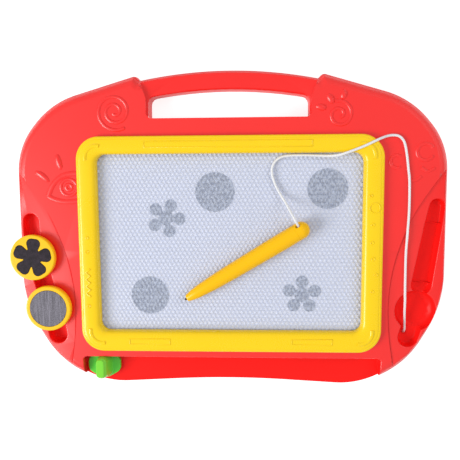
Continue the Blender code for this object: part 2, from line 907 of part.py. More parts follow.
def core_wells():
    """Six-sided wells in the core's face, each standing for a group of its small cells."""
    half_width, half_height = screen_half_sizes()
    pitch = cell_pitch * cells_across_well
    row_step = pitch * math.sqrt(3) / 2
    radius = (pitch - well_wall) / math.sqrt(3)
    rows = int((half_height - radius) / row_step)
    columns = int(half_width / pitch)
    shape = bmesh.new()
    for row in range(-rows, rows + 1):
        shift = pitch / 2 if row % 2 else 0.0
        for column in range(-columns, columns + 1):
            x = column * pitch + shift
            if abs(x) + pitch / 2 > half_width:
                continue
            centre = Vector((x, window_rise + row * row_step))
            turns = [math.pi / 6 + math.pi / 3 * corner for corner in range(6)]
            outline = [centre + radius * Vector((math.cos(turn), math.sin(turn))) for turn in turns]
            add_rings(shape, [level(outline, core_top - well_depth), level(outline, core_top + gap / 2)])
    return new_object("core_wells_tool", shape, None)


def screen():
    """The film, the honeycomb core and the rear film, one behind the other."""
    half_width, half_height = screen_half_sizes()
    outline = rectangle_outline(half_width, half_height, window_radius, window_rise)
    layers = (
        ("front_film", film_top, film_thickness),
        ("honeycomb_core", core_top, core_thickness),
        ("back_film", back_film_top, film_thickness),
    )
    for name, top, thickness in layers:
        layer = block(name, outline, top - thickness, top, film_plastic())
        if name == "honeycomb_core":
            change(layer, "DIFFERENCE", core_wells())


def screen_retainers():
    """The two strips that hold the screen up against the front shell."""
    lower, upper = retainer_lines()
    reach = screen_half_sizes()[0] + 2 * boss_radius + 2 * gap
    spans = (("screen_retainer_lower", lower - retainer_width, lower),
             ("screen_retainer_upper", upper, upper + retainer_width))
    for name, near, far in spans:
        strip = box(name, (-reach, near, retainer_bottom), (reach, far, retainer_top), white_plastic())
        centres = [point for point in retainer_screw_places() if near < point.y < far]
        bore = [(height, screw_radius + gap) for height in (retainer_bottom - overrun, retainer_top + overrun)]
        change(strip, "DIFFERENCE", posts(name + "_holes", centres, bore, 10))


def screw(name, centre, seat, length):
    """A pan-head screw driven upwards, its head under the seat."""
    base = seat - gap - screw_head_height
    stations = [
        (base, screw_head_radius * 0.62),
        (base + screw_head_height * 0.35, screw_head_radius * 0.93),
        (base + screw_head_height * 0.7, screw_head_radius),
        (base + screw_head_height, screw_head_radius),
        (base + screw_head_height, screw_radius),
        (seat + length - 2 * screw_radius, screw_radius),
        (seat + length - gap, screw_radius * 0.3),
    ]
    return ring_solid(name, turned_rings(stations, 12, centre), screw_steel())


def screws():
    """Eight screws in the back cover and four in the retaining strips."""
    cover_reach = screw_length + cup_height - counterbore_depth - gap
    for number, centre in enumerate(cover_screw_places(), 1):
        screw(f"cover_screw_{number}", centre, counterbore_depth, cover_reach)
    retainer_reach = retainer_thickness + short_screw_length - gap
    for number, centre in enumerate(retainer_screw_places(), 1):
        screw(f"retainer_screw_{number}", centre, retainer_bottom, retainer_reach)


def carried_by(parent, *things):
    """Parent pieces that are modelled in world places to an empty that stays put."""
    for thing in things:
        thing.parent = parent
        thing.matrix_parent_inverse = parent.matrix_world.inverted()


def pivot(name, location, turn=None):
    """An empty on a joint's axis."""
    empty = bpy.data.objects.new(name, None)
    bpy.context.scene.collection.objects.link(empty)
    empty.matrix_world = Matrix.Translation(location) @ (turn or Matrix())
    return empty


def eraser_knob():
    """The green slider: a plate on the band, a finger fin and a tongue into the shell."""
    top = band_line - loose_gap
    bottom = top - knob_reach
    plate_bottom = band_floor + gap
    corners = [
        (-knob_half_width, top, knob_corner_radius, 4),
        (-knob_half_width * 0.97, bottom + knob_reach * 0.34, knob_half_width * 0.45, 4),
        (0.0, bottom - knob_reach * 0.06, knob_half_width * 0.9, 5),
        (knob_half_width * 0.97, bottom + knob_reach * 0.34, knob_half_width * 0.45, 4),
        (knob_half_width, top, knob_corner_radius, 4),
    ]
    centred = [(x + knob_rest, y, radius, steps) for x, y, radius, steps in corners]
    plate_top = plate_bottom + knob_plate
    rings = [level(rounded_outline(centred, inset), z) for inset, z in (
        (0.0, plate_bottom), (0.0, plate_top - knob_plate * 0.3),
        (knob_plate * 0.08, plate_top - knob_plate * 0.08), (knob_plate * 0.3, plate_top))]
    knob = ring_solid("eraser_knob", rings, green_plastic())
    fin_bottom = bottom + fin_setback
    fin_middle = knob_rest - fin_shift
    fin_corners = [(fin_middle + x, y, fin_half_width * 0.95, 4) for x, y in (
        (fin_half_width, fin_bottom), (fin_half_width, top - gap),
        (-fin_half_width, top - gap), (-fin_half_width, fin_bottom))]
    fin_top = plate_bottom + fin_height
    fin_rings = [level(rounded_outline(fin_corners, inset), z) for inset, z in (
        (0.0, plate_bottom + knob_plate / 2), (0.0, fin_top - fin_rounding),
        (fin_rounding * 0.3, fin_top - fin_rounding * 0.3), (fin_rounding, fin_top))]
    tongue = box("tongue", (knob_rest - tongue_half_width, top - knob_plate, tongue_bottom),
                 (knob_rest + tongue_half_width, tongue_end, tongue_top))
    change(knob, "UNION", ring_solid("knob_fin", fin_rings), tongue)
    hole = (knob_rest, tongue_end - 2 * peg_radius)
    bore = [(tongue_bottom - overrun, peg_radius + gap), (tongue_top + overrun, peg_radius + gap)]
    change(knob, "DIFFERENCE", posts("peg_hole", [hole], bore, 12))
    return knob


def eraser_carriage():
    """The bar behind the screen, with rail grooves, a notch for the tongue and the magnets' tray."""
    low_y = window_rise - carriage_half_length
    high_y = window_rise + carriage_half_length
    bottom = carriage_lift
    bar = box("eraser_carriage", (knob_rest - carriage_half_width, low_y, bottom),
              (knob_rest + carriage_half_width, high_y, bottom + carriage_height), white_plastic())
    half = rail_half_width + cover_gap
    grooves = []
    for side in (1, -1):
        low = (knob_rest - 2 * carriage_half_width, side * rail_place - half, bottom - overrun)
        high = (knob_rest + 2 * carriage_half_width, side * rail_place + half, bottom + carriage_groove_depth)
        grooves.append(box(f"rail_groove_{side}", low, high))
    notch_top = tongue_top + gap
    notch = box("tongue_notch", (knob_rest - tongue_half_width - gap, low_y - overrun, bottom - overrun),
                (knob_rest + tongue_half_width + gap, tongue_end + gap, notch_top))
    magnets_low = window_rise - magnet_length - gap
    tray_bottom = eraser_top - magnet_thickness - gap
    magnets_high = window_rise + magnet_length + gap
    tray = box("magnet_tray", (knob_rest - magnet_half_width - gap, magnets_low - gap, tray_bottom),
               (knob_rest + magnet_half_width + gap, magnets_high + gap, eraser_top + overrun))
    change(bar, "DIFFERENCE", *grooves, notch, tray)
    peg = [(tongue_bottom + gap, peg_radius), (notch_top + gap, peg_radius)]
    change(bar, "UNION", posts("peg", [(knob_rest, tongue_end - 2 * peg_radius)], peg, 12))
    return bar


def eraser_magnets():
    """Two magnet strips end to end in the carriage."""
    magnets = []
    for number, side in ((1, -1), (2, 1)):
        near = window_rise + side * gap / 2
        far = near + side * magnet_length
        low = (knob_rest - magnet_half_width, min(near, far), eraser_top - magnet_thickness)
        high = (knob_rest + magnet_half_width, max(near, far), eraser_top)
        magnets.append(box(f"eraser_magnet_{number}", low, high, magnet_face()))
    return magnets


def eraser():
    """The knob, the carriage and its magnets on one slide."""
    slide = pivot("eraser_slide", (knob_rest, band_line, band_floor))
    carried_by(slide, eraser_knob(), eraser_carriage(), *eraser_magnets())


def stamp_body(name, centre, pocket):
    """A stamp lying face up: a cup with a pocket for its magnet, and a grip that stands in the groove."""
    foot = tray_floor + gap
    grip_round = grip_radius - grip_foot_radius
    stations = [
        (foot, grip_foot_radius),
        (foot + 2 * grip_round, grip_radius),
        (stamp_underside, grip_radius),
        (stamp_underside, stamp_radius - 2 * stamp_rounding),
        (stamp_underside + stamp_rounding, stamp_radius - stamp_rounding * 0.4),
        (stamp_underside + 3 * stamp_rounding, stamp_radius),
        (stamp_top - stamp_rounding, stamp_radius),
        (stamp_top - stamp_rounding * 0.3, stamp_radius - stamp_rounding * 0.3),
        (stamp_top, stamp_radius - stamp_rounding),
    ]
    body = ring_solid(name, turned_rings(stations, 32, centre), yellow_plastic())
    floor = stamp_top - stamp_magnet_thickness - gap
    change(body, "DIFFERENCE", block(name + "_pocket", pocket, floor, stamp_top + overrun))
    return body


def flower_outline(centre, inset=0.0):
    """Five round petals joined at the middle."""
    corners = []
    reach = stamp_radius * petal_reach_share
    radius = stamp_radius * petal_radius_share
    waist = stamp_radius * petal_waist_share
    for petal in range(5):
        turn = flower_turn + petal * 2 * math.pi / 5
        spread = math.atan2(radius, reach)
        for angle, distance, rounding, steps in (
            (turn - math.pi / 5, waist, least_radius, 3),
            (turn - spread, reach, radius, 4),
            (turn + spread, reach, radius, 4),
        ):
            corner = (centre[0] + distance * math.cos(angle), centre[1] + distance * math.sin(angle))
            corners.append((*corner, rounding, steps))
    return rounded_outline(corners, inset)


def stamps():
    """The flower stamp and the round stamp, each lifting straight up out of the groove."""
    flower_place = place(*flower_share, side=-1)
    round_place = place(*round_share, side=-1)
    faces = (
        ("flower_stamp", flower_place, flower_outline(flower_place, -gap), flower_outline(flower_place)),
        ("round_stamp", round_place, circle_outline(stamp_magnet_radius + gap, 32, round_place),
         circle_outline(stamp_magnet_radius, 32, round_place)),
    )
    for name, centre, pocket, face in faces:
        body = stamp_body(name + "_body", centre, pocket)
        bottom = stamp_top - stamp_magnet_thickness
        magnet = block(name + "_magnet", face, bottom, stamp_top, magnet_face())
        carried_by(pivot(name + "_lift", (*centre, tray_floor)), body, magnet)


def pen_nose():
    """Distance from the tail's ball centre to the front of the barrel."""
    return pen_length - pen_radius - point_reach


def pen_frame():
    """The pen's own axes: X from its tail to its point, with the tail's ball centre at the origin."""
    near_share, near_radius_share = barrel_shares[0]
    far_share, far_radius_share = barrel_shares[1]
    fall = (near_radius_share - far_radius_share) * pen_radius
    lean = math.atan2(fall, (far_share - near_share) * pen_nose())
    lift = near_radius_share * pen_radius / math.cos(lean) + near_share * pen_nose() * math.sin(lean)
    turn = Matrix.Rotation(pen_turn, 4, "Z") @ Matrix.Rotation(lean, 4, "Y")
    return Matrix.Translation((pen_tail_x, pen_tail_y, film_top + gap + lift)) @ turn


def knot_place():
    """The knot's middle in the pen's axes: up and to the cord's side of the axis."""
    reach = (pen_radius - knot_depth) * math.sqrt(0.5)
    return Vector((0.0, -reach, reach))


def along_pen(stations, sides=16):
    """Rings of a turned piece along the pen's X axis, from (distance, radius) stations."""
    return turned_rings(stations, sides)


def pen():
    """The barrel, its tail cap with the cord's eye, the magnet and the point."""
    frame = pen_frame()
    lay_down = frame @ Matrix.Rotation(math.pi / 2, 4, "Y")
    nose = pen_nose()
    seam = cap_length + gap
    bore = pen_radius - pen_wall
    magnet_start = nose - point_collar_length - pen_magnet_length - 2 * gap
    outside = [
        (seam, pen_radius),
        (nose * 0.10, pen_radius),
        *((nose * share, pen_radius * radius_share) for share, radius_share in barrel_shares),
        (nose - point_reach, pen_nose_radius),
        (nose - point_reach * 0.3, (pen_nose_radius + pen_nose_tip_radius) / 2),
        (nose, pen_nose_tip_radius),
    ]
    inside = [
        (nose, point_radius + gap),
        (nose - 2 * point_radius, point_radius + gap),
        (nose - 2 * point_radius, point_collar_radius + gap),
        (magnet_start, point_collar_radius + gap),
        (nose * 0.64, bore * 0.80),
        (seam, bore),
    ]
    sections = along_pen(outside + inside)
    barrel = ring_solid("pen_barrel", sections, yellow_plastic(), closed=True, turn=lay_down)
    dome = [(-pen_radius * math.cos(a), pen_radius * math.sin(a)) for a in (0.12, 0.45, 0.85, 1.25)]
    spigot_radius = bore - gap
    cap_stations = dome + [(0.0, pen_radius), (cap_length, pen_radius), (cap_length, spigot_radius),
                           (cap_length + spigot_length, spigot_radius * 0.97)]
    cap = ring_solid("pen_tail_cap", along_pen(cap_stations), yellow_plastic(), turn=lay_down)
    knot_at = frame @ Matrix.Translation(knot_place())
    socket = [(-math.cos(a) * (knot_radius + gap), math.sin(a) * (knot_radius + gap))
              for a in (0.3, 0.8, 1.3, 1.8, 2.3, 2.8)]
    outwards = knot_at @ Matrix.Rotation(math.pi / 4, 4, "X")
    eye = channel_outline([(-eye_back, 0.0, eye_half_width), (eye_front, 0.0, eye_half_width)])
    change(cap, "DIFFERENCE",
           ring_solid("knot_socket", turned_rings(socket, 12), turn=outwards),
           ring_solid("cord_eye", [level(eye, 0.0), level(eye, knot_depth + pen_wall)], turn=outwards))
    point_end = nose + point_reach
    collar_start = nose - 2 * point_radius - gap
    point_stations = [
        (collar_start - point_collar_length, point_collar_radius),
        (collar_start, point_collar_radius),
        (collar_start, point_radius),
        (point_end - point_radius * 0.6, point_radius),
        (point_end, point_radius * 0.45),
    ]
    point = ring_solid("pen_tip", turned_rings(point_stations, 12), black_plastic(), turn=lay_down)
    magnet_end = collar_start - point_collar_length - gap
    magnet_start = magnet_end - pen_magnet_length
    magnet_stations = [(magnet_start, point_collar_radius), (magnet_end, point_collar_radius)]
    magnet = ring_solid("pen_magnet", turned_rings(magnet_stations, 12), magnet_face(), turn=lay_down)
    ball = [(-math.cos(a) * knot_radius, math.sin(a) * knot_radius) for a in (0.3, 0.8, 1.3, 1.8, 2.3, 2.8)]
    knot = ring_solid("pen_knot", turned_rings(ball, 12), white_cord(), turn=outwards)
    swing = pivot("pen_swing", knot_at.translation)
    bpy.context.view_layer.update()
    carried_by(swing, barrel, cap, point, magnet, knot)
    print("pen eye at", [round(value, 5) for value in knot_at.translation])


def cord_points():
    """Even points on a smooth curve through the cord's route."""
    curve = smooth_points([Vector(point) * mm for point in cord_route], 12)
    lengths = [0.0]
    for first, second in zip(curve, curve[1:]):
        lengths.append(lengths[-1] + (second - first).length)
    count = round(lengths[-1] / cord_step)
    points = []
    index = 0
    for step in range(count + 1):
        target = lengths[-1] * step / count
        while index < len(lengths) - 2 and lengths[index + 1] < target:
            index += 1
        share = (target - lengths[index]) / (lengths[index + 1] - lengths[index])
        points.append(curve[index].lerp(curve[index + 1], min(share, 1.0)))
    print("cord length", round(lengths[-1], 4), "points", len(points))
    return points


def pen_cord():
    """The cord that ties the pen to the board, and its knot under the recess floor."""
    points = cord_points()
    data = bpy.data.curves.new("pen_cord", "CURVE")
    data.dimensions = "3D"
    data.bevel_depth = cord_radius
    data.bevel_resolution = 2
    data.use_fill_caps = True
    spline = data.splines.new("POLY")
    spline.points.add(len(points) - 1)
    for slot, point in zip(spline.points, points):
        slot.co = (*point, 1.0)
    data.materials.append(white_cord())
    cord = bpy.data.objects.new("pen_cord", data)
    bpy.context.scene.collection.objects.link(cord)
    anchor = place(*anchor_share)
    top = tray_floor - face_wall - gap
    ball = [(top - anchor_knot_radius * (1 + math.cos(a)), math.sin(a) * anchor_knot_radius * 1.25)
            for a in (0.3, 0.8, 1.3, 1.8, 2.3, 2.8)]
    ring_solid("anchor_knot", turned_rings(ball, 12, anchor), white_cord())


def build():
    clear_scene()
    front_shell()
    back_cover()
    bezel()
    screen()
    screen_retainers()
    screws()
    eraser()
    stamps()
    pen()
    pen_cord()


build()
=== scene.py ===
# %% [markdown]
# # A magnetic drawing board
# The board lies on its back. A red plastic shell carries a yellow frame round a pale
# screen full of small cells, a pen on a white cord, two magnet stamps and a green slider
# that wipes the screen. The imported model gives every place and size, so the first step
# is to load it. Nothing in it is moved: pieces are made on top of it, or stand in for it.

# %% Load the measured model
import math

import bmesh
import bpy
from mathutils import Matrix, Vector


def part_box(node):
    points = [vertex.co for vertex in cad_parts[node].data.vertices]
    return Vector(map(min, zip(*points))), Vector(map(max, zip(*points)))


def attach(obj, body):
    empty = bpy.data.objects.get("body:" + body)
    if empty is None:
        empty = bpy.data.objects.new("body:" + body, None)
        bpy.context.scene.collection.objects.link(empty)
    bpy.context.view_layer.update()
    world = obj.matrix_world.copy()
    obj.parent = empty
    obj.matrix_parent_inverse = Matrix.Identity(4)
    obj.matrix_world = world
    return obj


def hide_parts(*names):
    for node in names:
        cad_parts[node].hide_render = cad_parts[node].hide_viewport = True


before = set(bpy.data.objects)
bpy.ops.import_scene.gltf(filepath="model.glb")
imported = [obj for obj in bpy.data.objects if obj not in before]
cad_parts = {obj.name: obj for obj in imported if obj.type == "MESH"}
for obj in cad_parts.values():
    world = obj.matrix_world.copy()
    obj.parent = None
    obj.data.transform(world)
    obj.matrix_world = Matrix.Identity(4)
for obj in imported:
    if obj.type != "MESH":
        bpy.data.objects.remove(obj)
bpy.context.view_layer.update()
mm = 0.001

# %% [markdown]
# ## The camera
# The photograph looks straight down at the board, from a little to the right of its
# middle and a little towards the handle. A short distance makes the tall stamps and the
# knob lean away from the middle, so the height matters as much as the direction.

# %% Camera
camera_place = Vector((26.9, 74.9, 540.6)) * mm
camera_turn = [math.radians(angle) for angle in (-6.79, 2.84, -0.46)]
camera_data = bpy.data.cameras.new("camera")
camera_data.lens = 46.96
camera_data.sensor_width = 36.0
camera = bpy.data.objects.new("camera", camera_data)
camera.location = camera_place
camera.rotation_euler = camera_turn
bpy.context.scene.collection.objects.link(camera)
bpy.context.scene.camera = camera
print("camera is", round(camera_place.length / mm), "mm from the origin")

# %% [markdown]
# ## The cord
# A soft white cord leaves the small recess under the finger well, runs up beside the
# frame, lies over the frame's corner, makes one bend on the screen and ends in the pen's
# tail. It is seen from end to end, so its length is simply that of its route. A curve
# through listed points, thickened to the cord's radius, is the natural way to make
# it, and the same points are in the measured model. They run from the pen to the recess
# and are in millimetres.

# %% Cord route
cord_radius = 1.1 * mm
cord_route = (
    (59.4, 17.6, 32.7),
    (58.0, 20.1, 35.1),
    (56.2, 23.3, 36.2),
    (54.2, 27.2, 34.8),
    (48.8, 37.0, 25.4),
    (46.1, 41.3, 22.3),
    (43.4, 45.8, 21.1),
    (39.9, 52.8, 20.9),
    (37.4, 60.6, 20.9),
    (37.3, 67.0, 20.9),
    (40.0, 72.4, 20.9),
    (45.3, 76.0, 20.9),
    (52.9, 77.3, 20.9),
    (65.3, 77.4, 20.9),
    (77.0, 77.0, 21.1),
    (86.0, 76.7, 23.2),
    (92.5, 77.2, 26.6),
    (98.7, 78.9, 29.0),
    (113.2, 84.3, 29.5),
    (124.4, 89.4, 29.0),
    (129.4, 91.5, 27.3),
    (134.2, 93.0, 24.9),
    (139.0, 93.6, 23.6),
    (143.2, 93.0, 23.4),
    (146.6, 90.6, 23.4),
    (148.9, 86.2, 23.4),
    (150.7, 77.9, 23.4),
    (152.3, 65.9, 23.4),
    (153.6, 54.1, 23.4),
    (153.9, 30.0, 23.4),
    (152.9, 7.0, 23.2),
    (152.4, -10.0, 22.1),
    (152.6, -40.0, 21.9),
    (153.2, -49.0, 20.3),
    (154.2, -62.0, 15.6),
    (154.8, -71.0, 13.4),
    (155.0, -75.6, 12.9),
    (155.0, -78.3, 11.9),
    (155.0, -79.8, 9.4),
    (155.0, -79.9, 7.7),
)
print("points on the cord's route", len(cord_route))

# %% [markdown]
# ## Smooth lines and round bars
# A few points make a smooth line when short runs are bent between each two of them. The
# cord's points are then spread evenly, so that its round section stays even too. A curve
# with a thickness of one holds its real radius at each point.

# %% Curve tools
def smooth_points(points, steps):
    """A smooth line through the points, with steps short runs between each two."""
    line = []
    for index in range(len(points) - 1):
        before = points[max(index - 1, 0)]
        start = points[index]
        end = points[index + 1]
        after = points[min(index + 2, len(points) - 1)]
        for step in range(steps):
            t = step / steps
            bend = (end - before) * t + (2 * before - 5 * start + 4 * end - after) * t**2
            line.append(start + 0.5 * (bend + (3 * start - before - 3 * end + after) * t**3))
    line.append(points[-1])
    return line


def even_points(points, distance):
    """The same line with its points an even distance apart."""
    lengths = [0.0]
    for first, second in zip(points, points[1:]):
        lengths.append(lengths[-1] + (second - first).length)
    count = max(round(lengths[-1] / distance), 1)
    even = []
    index = 0
    for step in range(count + 1):
        target = lengths[-1] * step / count
        while index < len(lengths) - 2 and lengths[index + 1] < target:
            index += 1
        share = (target - lengths[index]) / (lengths[index + 1] - lengths[index])
        even.append(points[index].lerp(points[index + 1], min(share, 1.0)))
    return even, lengths[-1]


def thick_curve(name, lines, radius, closed=False, oval=False):
    """Round bars along lines of points. An oval bar is thick in its middle and thin at its ends."""
    end_share = 0.3
    data = bpy.data.curves.new(name, "CURVE")
    data.dimensions = "3D"
    data.bevel_depth = 1.0
    data.bevel_resolution = 4
    data.use_fill_caps = not closed
    for line in lines:
        spline = data.splines.new("POLY")
        spline.points.add(len(line) - 1)
        for index, point in enumerate(line):
            share = (index + end_share) / (len(line) - 1 + 2 * end_share) if oval else 0.5
            spline.points[index].co = (*point, 1.0)
            spline.points[index].radius = radius * 2 * math.sqrt(share * (1 - share))
        spline.use_cyclic_u = closed
    made = bpy.data.objects.new(name, data)
    bpy.context.scene.collection.objects.link(made)
    return made


print("curve tools are ready")

# %% [markdown]
# ## The cord itself
# The curve runs from the recess to the pen.

# %% Cord
cord_point_gap = 1.0 * mm
route = [Vector(point) * mm for point in reversed(cord_route)]
cord_line, cord_length = even_points(smooth_points(route, 12), cord_point_gap)
cord = thick_curve("white_cord", [cord_line], cord_radius)
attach(cord, "board")
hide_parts("pen_cord")
print("cord length in millimetres", round(cord_length / mm))

# %% [markdown]
# ## Tools for outlines
# Most pieces are plates with rounded corners. A plate starts as a few corners with their
# radii. A bevel on the vertices would squash the arcs of blunt corners, so each arc is
# turned round its own centre. The same outline can be moved in or out and set at a height.

# %% Outline tools
def rounded_points(corners, steps=10, inset=0.0):
    """Points round an anticlockwise outline of (x, y, radius) corners, its sides moved in by inset."""
    least_radius = 0.8 * mm
    longest_share = 0.46
    corner_points = [Vector((corner[0], corner[1], 0.0)) for corner in corners]
    moved = offset_points(corner_points, -inset)
    points = []
    for index, here in enumerate(moved):
        radius = corners[index][2]
        if radius == 0:
            points.append(here)
            continue
        back = moved[index - 1] - here
        ahead = moved[(index + 1) % len(moved)] - here
        outer = back.cross(ahead).z < 0
        radius = max(radius - inset, least_radius) if outer else radius
        turn = math.pi - back.angle(ahead)
        reach = min(radius * math.tan(turn / 2), longest_share * min(back.length, ahead.length))
        middle = (back.normalized() + ahead.normalized()).normalized()
        centre = here + middle * (reach / math.sin(turn / 2))
        spoke = here + back.normalized() * reach - centre
        sense = 1 if outer else -1
        points += [centre + Matrix.Rotation(sense * turn * step / steps, 3, "Z") @ spoke
                   for step in range(steps + 1)]
    return points


def offset_points(points, distance):
    """An outline moved outwards by a distance, all points staying in step."""
    sharpest = 0.3
    moved = []
    count = len(points)
    for index, point in enumerate(points):
        before = (point - points[index - 1]).normalized()
        after = (points[(index + 1) % count] - point).normalized()
        outward = Vector((before.y + after.y, -before.x - after.x, 0.0))
        moved.append(point + outward * (distance / max(1 + before.dot(after), sharpest)))
    return moved


def at_height(points, height):
    """An outline at a height, or at the height that a function of x gives."""
    if callable(height):
        return [Vector((point.x, point.y, height(point.x))) for point in points]
    return [Vector((point.x, point.y, height)) for point in points]


def box_corners(left, low, right, high, low_radius, high_radius):
    """Corners of an upright rectangle, with one radius for the lower and one for the upper two."""
    return [(right, low, low_radius), (right, high, high_radius),
            (left, high, high_radius), (left, low, low_radius)]


print("outline tools are ready")

# %% [markdown]
# ## Tools for meshes
# Outlines at different heights are bridged into walls, which suits plates, rings and
# flared tools alike. A turned piece starts as half of its section, which is spun round the
# axis. Edges that a mould would leave soft are rounded with a bevel.

# %% Mesh tools
nearly_level = 0.01 * mm


def loop_of(shape, points):
    """A closed loop of edges."""
    verts = [shape.verts.new(point) for point in points]
    return [shape.edges.new((verts[index - 1], verts[index])) for index in range(len(verts))]


def skin(shape, rings, closed=False):
    """Walls bridged between outlines; an open run gets a face at each end."""
    loops = [loop_of(shape, ring) for ring in rings]
    pairs = list(zip(loops, loops[1:]))
    if closed:
        pairs.append((loops[-1], loops[0]))
    for lower, upper in pairs:
        bmesh.ops.bridge_loops(shape, edges=lower + upper)
    if not closed:
        for loop in (loops[0], loops[-1]):
            bmesh.ops.contextual_create(shape, geom=loop)


def turned(shape, profile, steps=64):
    """Spin a half section of (radius, height) points round the Z axis."""
    verts = [shape.verts.new((radius, 0.0, height)) for radius, height in profile]
    edges = [shape.edges.new(pair) for pair in zip(verts, verts[1:])]
    bmesh.ops.spin(shape, geom=verts + edges, cent=(0, 0, 0), axis=(0, 0, 1), angle=2 * math.pi,
                   steps=steps, use_merge=True)
    bmesh.ops.remove_doubles(shape, verts=shape.verts, dist=0.001 * mm)


def round_edges(shape, edges, width, segments=3):
    """Round off edges with a bevel."""
    bmesh.ops.bevel(shape, geom=list(edges), offset=width, offset_type="OFFSET", segments=segments,
                    profile=0.5, affect="EDGES", material=-1, clamp_overlap=True)


def sharp_edges(shape):
    """The edges whose faces meet at a clear angle."""
    limit = 40.0
    return [edge for edge in shape.edges
            if len(edge.link_faces) == 2 and edge.calc_face_angle() > math.radians(limit)]


def as_object(name, shape, smooth_limit=35.0):
    """Make the mesh an object with soft shading between faces that nearly line up."""
    bmesh.ops.recalc_face_normals(shape, faces=shape.faces)
    mesh = bpy.data.meshes.new(name)
    shape.to_mesh(mesh)
    shape.free()
    mesh.shade_smooth()
    mesh.set_sharp_from_angle(angle=math.radians(smooth_limit))
    made = bpy.data.objects.new(name, mesh)
    bpy.context.scene.collection.objects.link(made)
    return made


def skinned(name, rings, closed=False, smooth_limit=35.0):
    """A piece whose walls are bridged between outlines."""
    shape = bmesh.new()
    skin(shape, rings, closed)
    return as_object(name, shape, smooth_limit)


def plate(outline, low, high, rounding, segments, every_edge=True):
    """A flat plate whose upper edge is rounded, or its lower and upper edges."""
    shape = bmesh.new()
    skin(shape, [at_height(outline, low), at_height(outline, high)])
    edges = sharp_edges(shape)
    if not every_edge:
        edges = [edge for edge in shape.edges
                 if all(vert.co.z > high - nearly_level for vert in edge.verts)]
    round_edges(shape, edges, rounding, segments)
    return shape


print("mesh tools are ready")

# %% [markdown]
# ## Tools for finished pieces
# Hollows are cut with tools, as a toolmaker would, by Boolean modifiers that are applied
# at once. The piece then gets even shading, its finish and the body that it rides on, and
# the measured pieces that it stands for are hidden.

# %% Piece tools
def carve(target, cutters, operation="DIFFERENCE"):
    """Cut shapes out of a piece, join them to it, or keep what they share with it, for good."""
    smallest = 0.004 * mm
    for cutter in cutters:
        change = target.modifiers.new(cutter.name, "BOOLEAN")
        change.operation = operation
        change.solver = "EXACT"
        change.object = cutter
    bpy.context.view_layer.update()
    evaluated = target.evaluated_get(bpy.context.evaluated_depsgraph_get())
    mesh = bpy.data.meshes.new_from_object(evaluated)
    shape = bmesh.new()
    shape.from_mesh(mesh)
    bmesh.ops.remove_doubles(shape, verts=shape.verts, dist=smallest)
    bmesh.ops.dissolve_degenerate(shape, edges=shape.edges, dist=smallest)
    shape.to_mesh(mesh)
    shape.free()
    target.modifiers.clear()
    target.data = mesh
    for cutter in cutters:
        bpy.data.objects.remove(cutter)
    return target


def shade_evenly(piece):
    """Soft shading whose normals follow the large faces, so that flat faces stay flat."""
    limit = 32.0
    piece.data.shade_smooth()
    piece.data.set_sharp_from_angle(angle=math.radians(limit))
    even = piece.modifiers.new("even_shading", "WEIGHTED_NORMAL")
    even.keep_sharp = True
    even.weight = 100


def keep(piece, body, finish, replaces=()):
    """Give a piece its finish and the body it rides on, and hide the nodes it stands for."""
    piece.data.materials.clear()
    piece.data.materials.append(finish)
    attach(piece, body)
    if replaces:
        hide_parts(*replaces)
    return piece


def merged_copy(node):
    """A measured node's mesh with its loose triangles joined up."""
    shape = bmesh.new()
    shape.from_mesh(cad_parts[node].data)
    bmesh.ops.remove_doubles(shape, verts=shape.verts, dist=0.002 * mm)
    return shape


print("piece tools are ready")

# %% [markdown]
# ## Sums in a shader
# The arithmetic of a pattern reads best as a Python sentence, so a small class wraps a
# socket and turns plus, minus and times into Math nodes.

# %% Shader sums
class Value:
    """A socket that can stand in a sum."""

    def __init__(self, tree, socket):
        self.tree = tree
        self.socket = socket

    def combine(self, operation, first, second):
        """A Math node that works on two values or numbers."""
        node = self.tree.nodes.new("ShaderNodeMath")
        node.operation = operation
        for slot, value in zip(node.inputs, (first, second)):
            if isinstance(value, Value):
                self.tree.links.new(value.socket, slot)
            else:
                slot.default_value = value
        return Value(self.tree, node.outputs[0])

    def __add__(self, other):
        return self.combine("ADD", self, other)

    def __radd__(self, other):
        return self.combine("ADD", other, self)

    def __sub__(self, other):
        return self.combine("SUBTRACT", self, other)

    def __rsub__(self, other):
        return self.combine("SUBTRACT", other, self)

    def __mul__(self, other):
        return self.combine("MULTIPLY", self, other)

    def __rmul__(self, other):
        return self.combine("MULTIPLY", other, self)

    def least(self, other):
        """The smaller of two values."""
        return self.combine("MINIMUM", self, other)

    def most(self, other):
        """The larger of two values."""
        return self.combine("MAXIMUM", self, other)

    def above(self, edge, width):
        """0 below the edge and 1 above it, with a soft step of a width."""
        share = (self - (edge - width / 2)) * (1 / width)
        return share.most(0.0).least(1.0)

    def below(self, edge, width):
        """1 below the edge and 0 above it."""
        return 1 - self.above(edge, width)


print("shader sums are ready")

# %% [markdown]
# ## Tools for finishes
# A finish is a Principled shader with a few procedural patterns on the piece's own
# coordinates. Every node but Mix comes from one method, which sets the node's kind first
# and then its sockets.

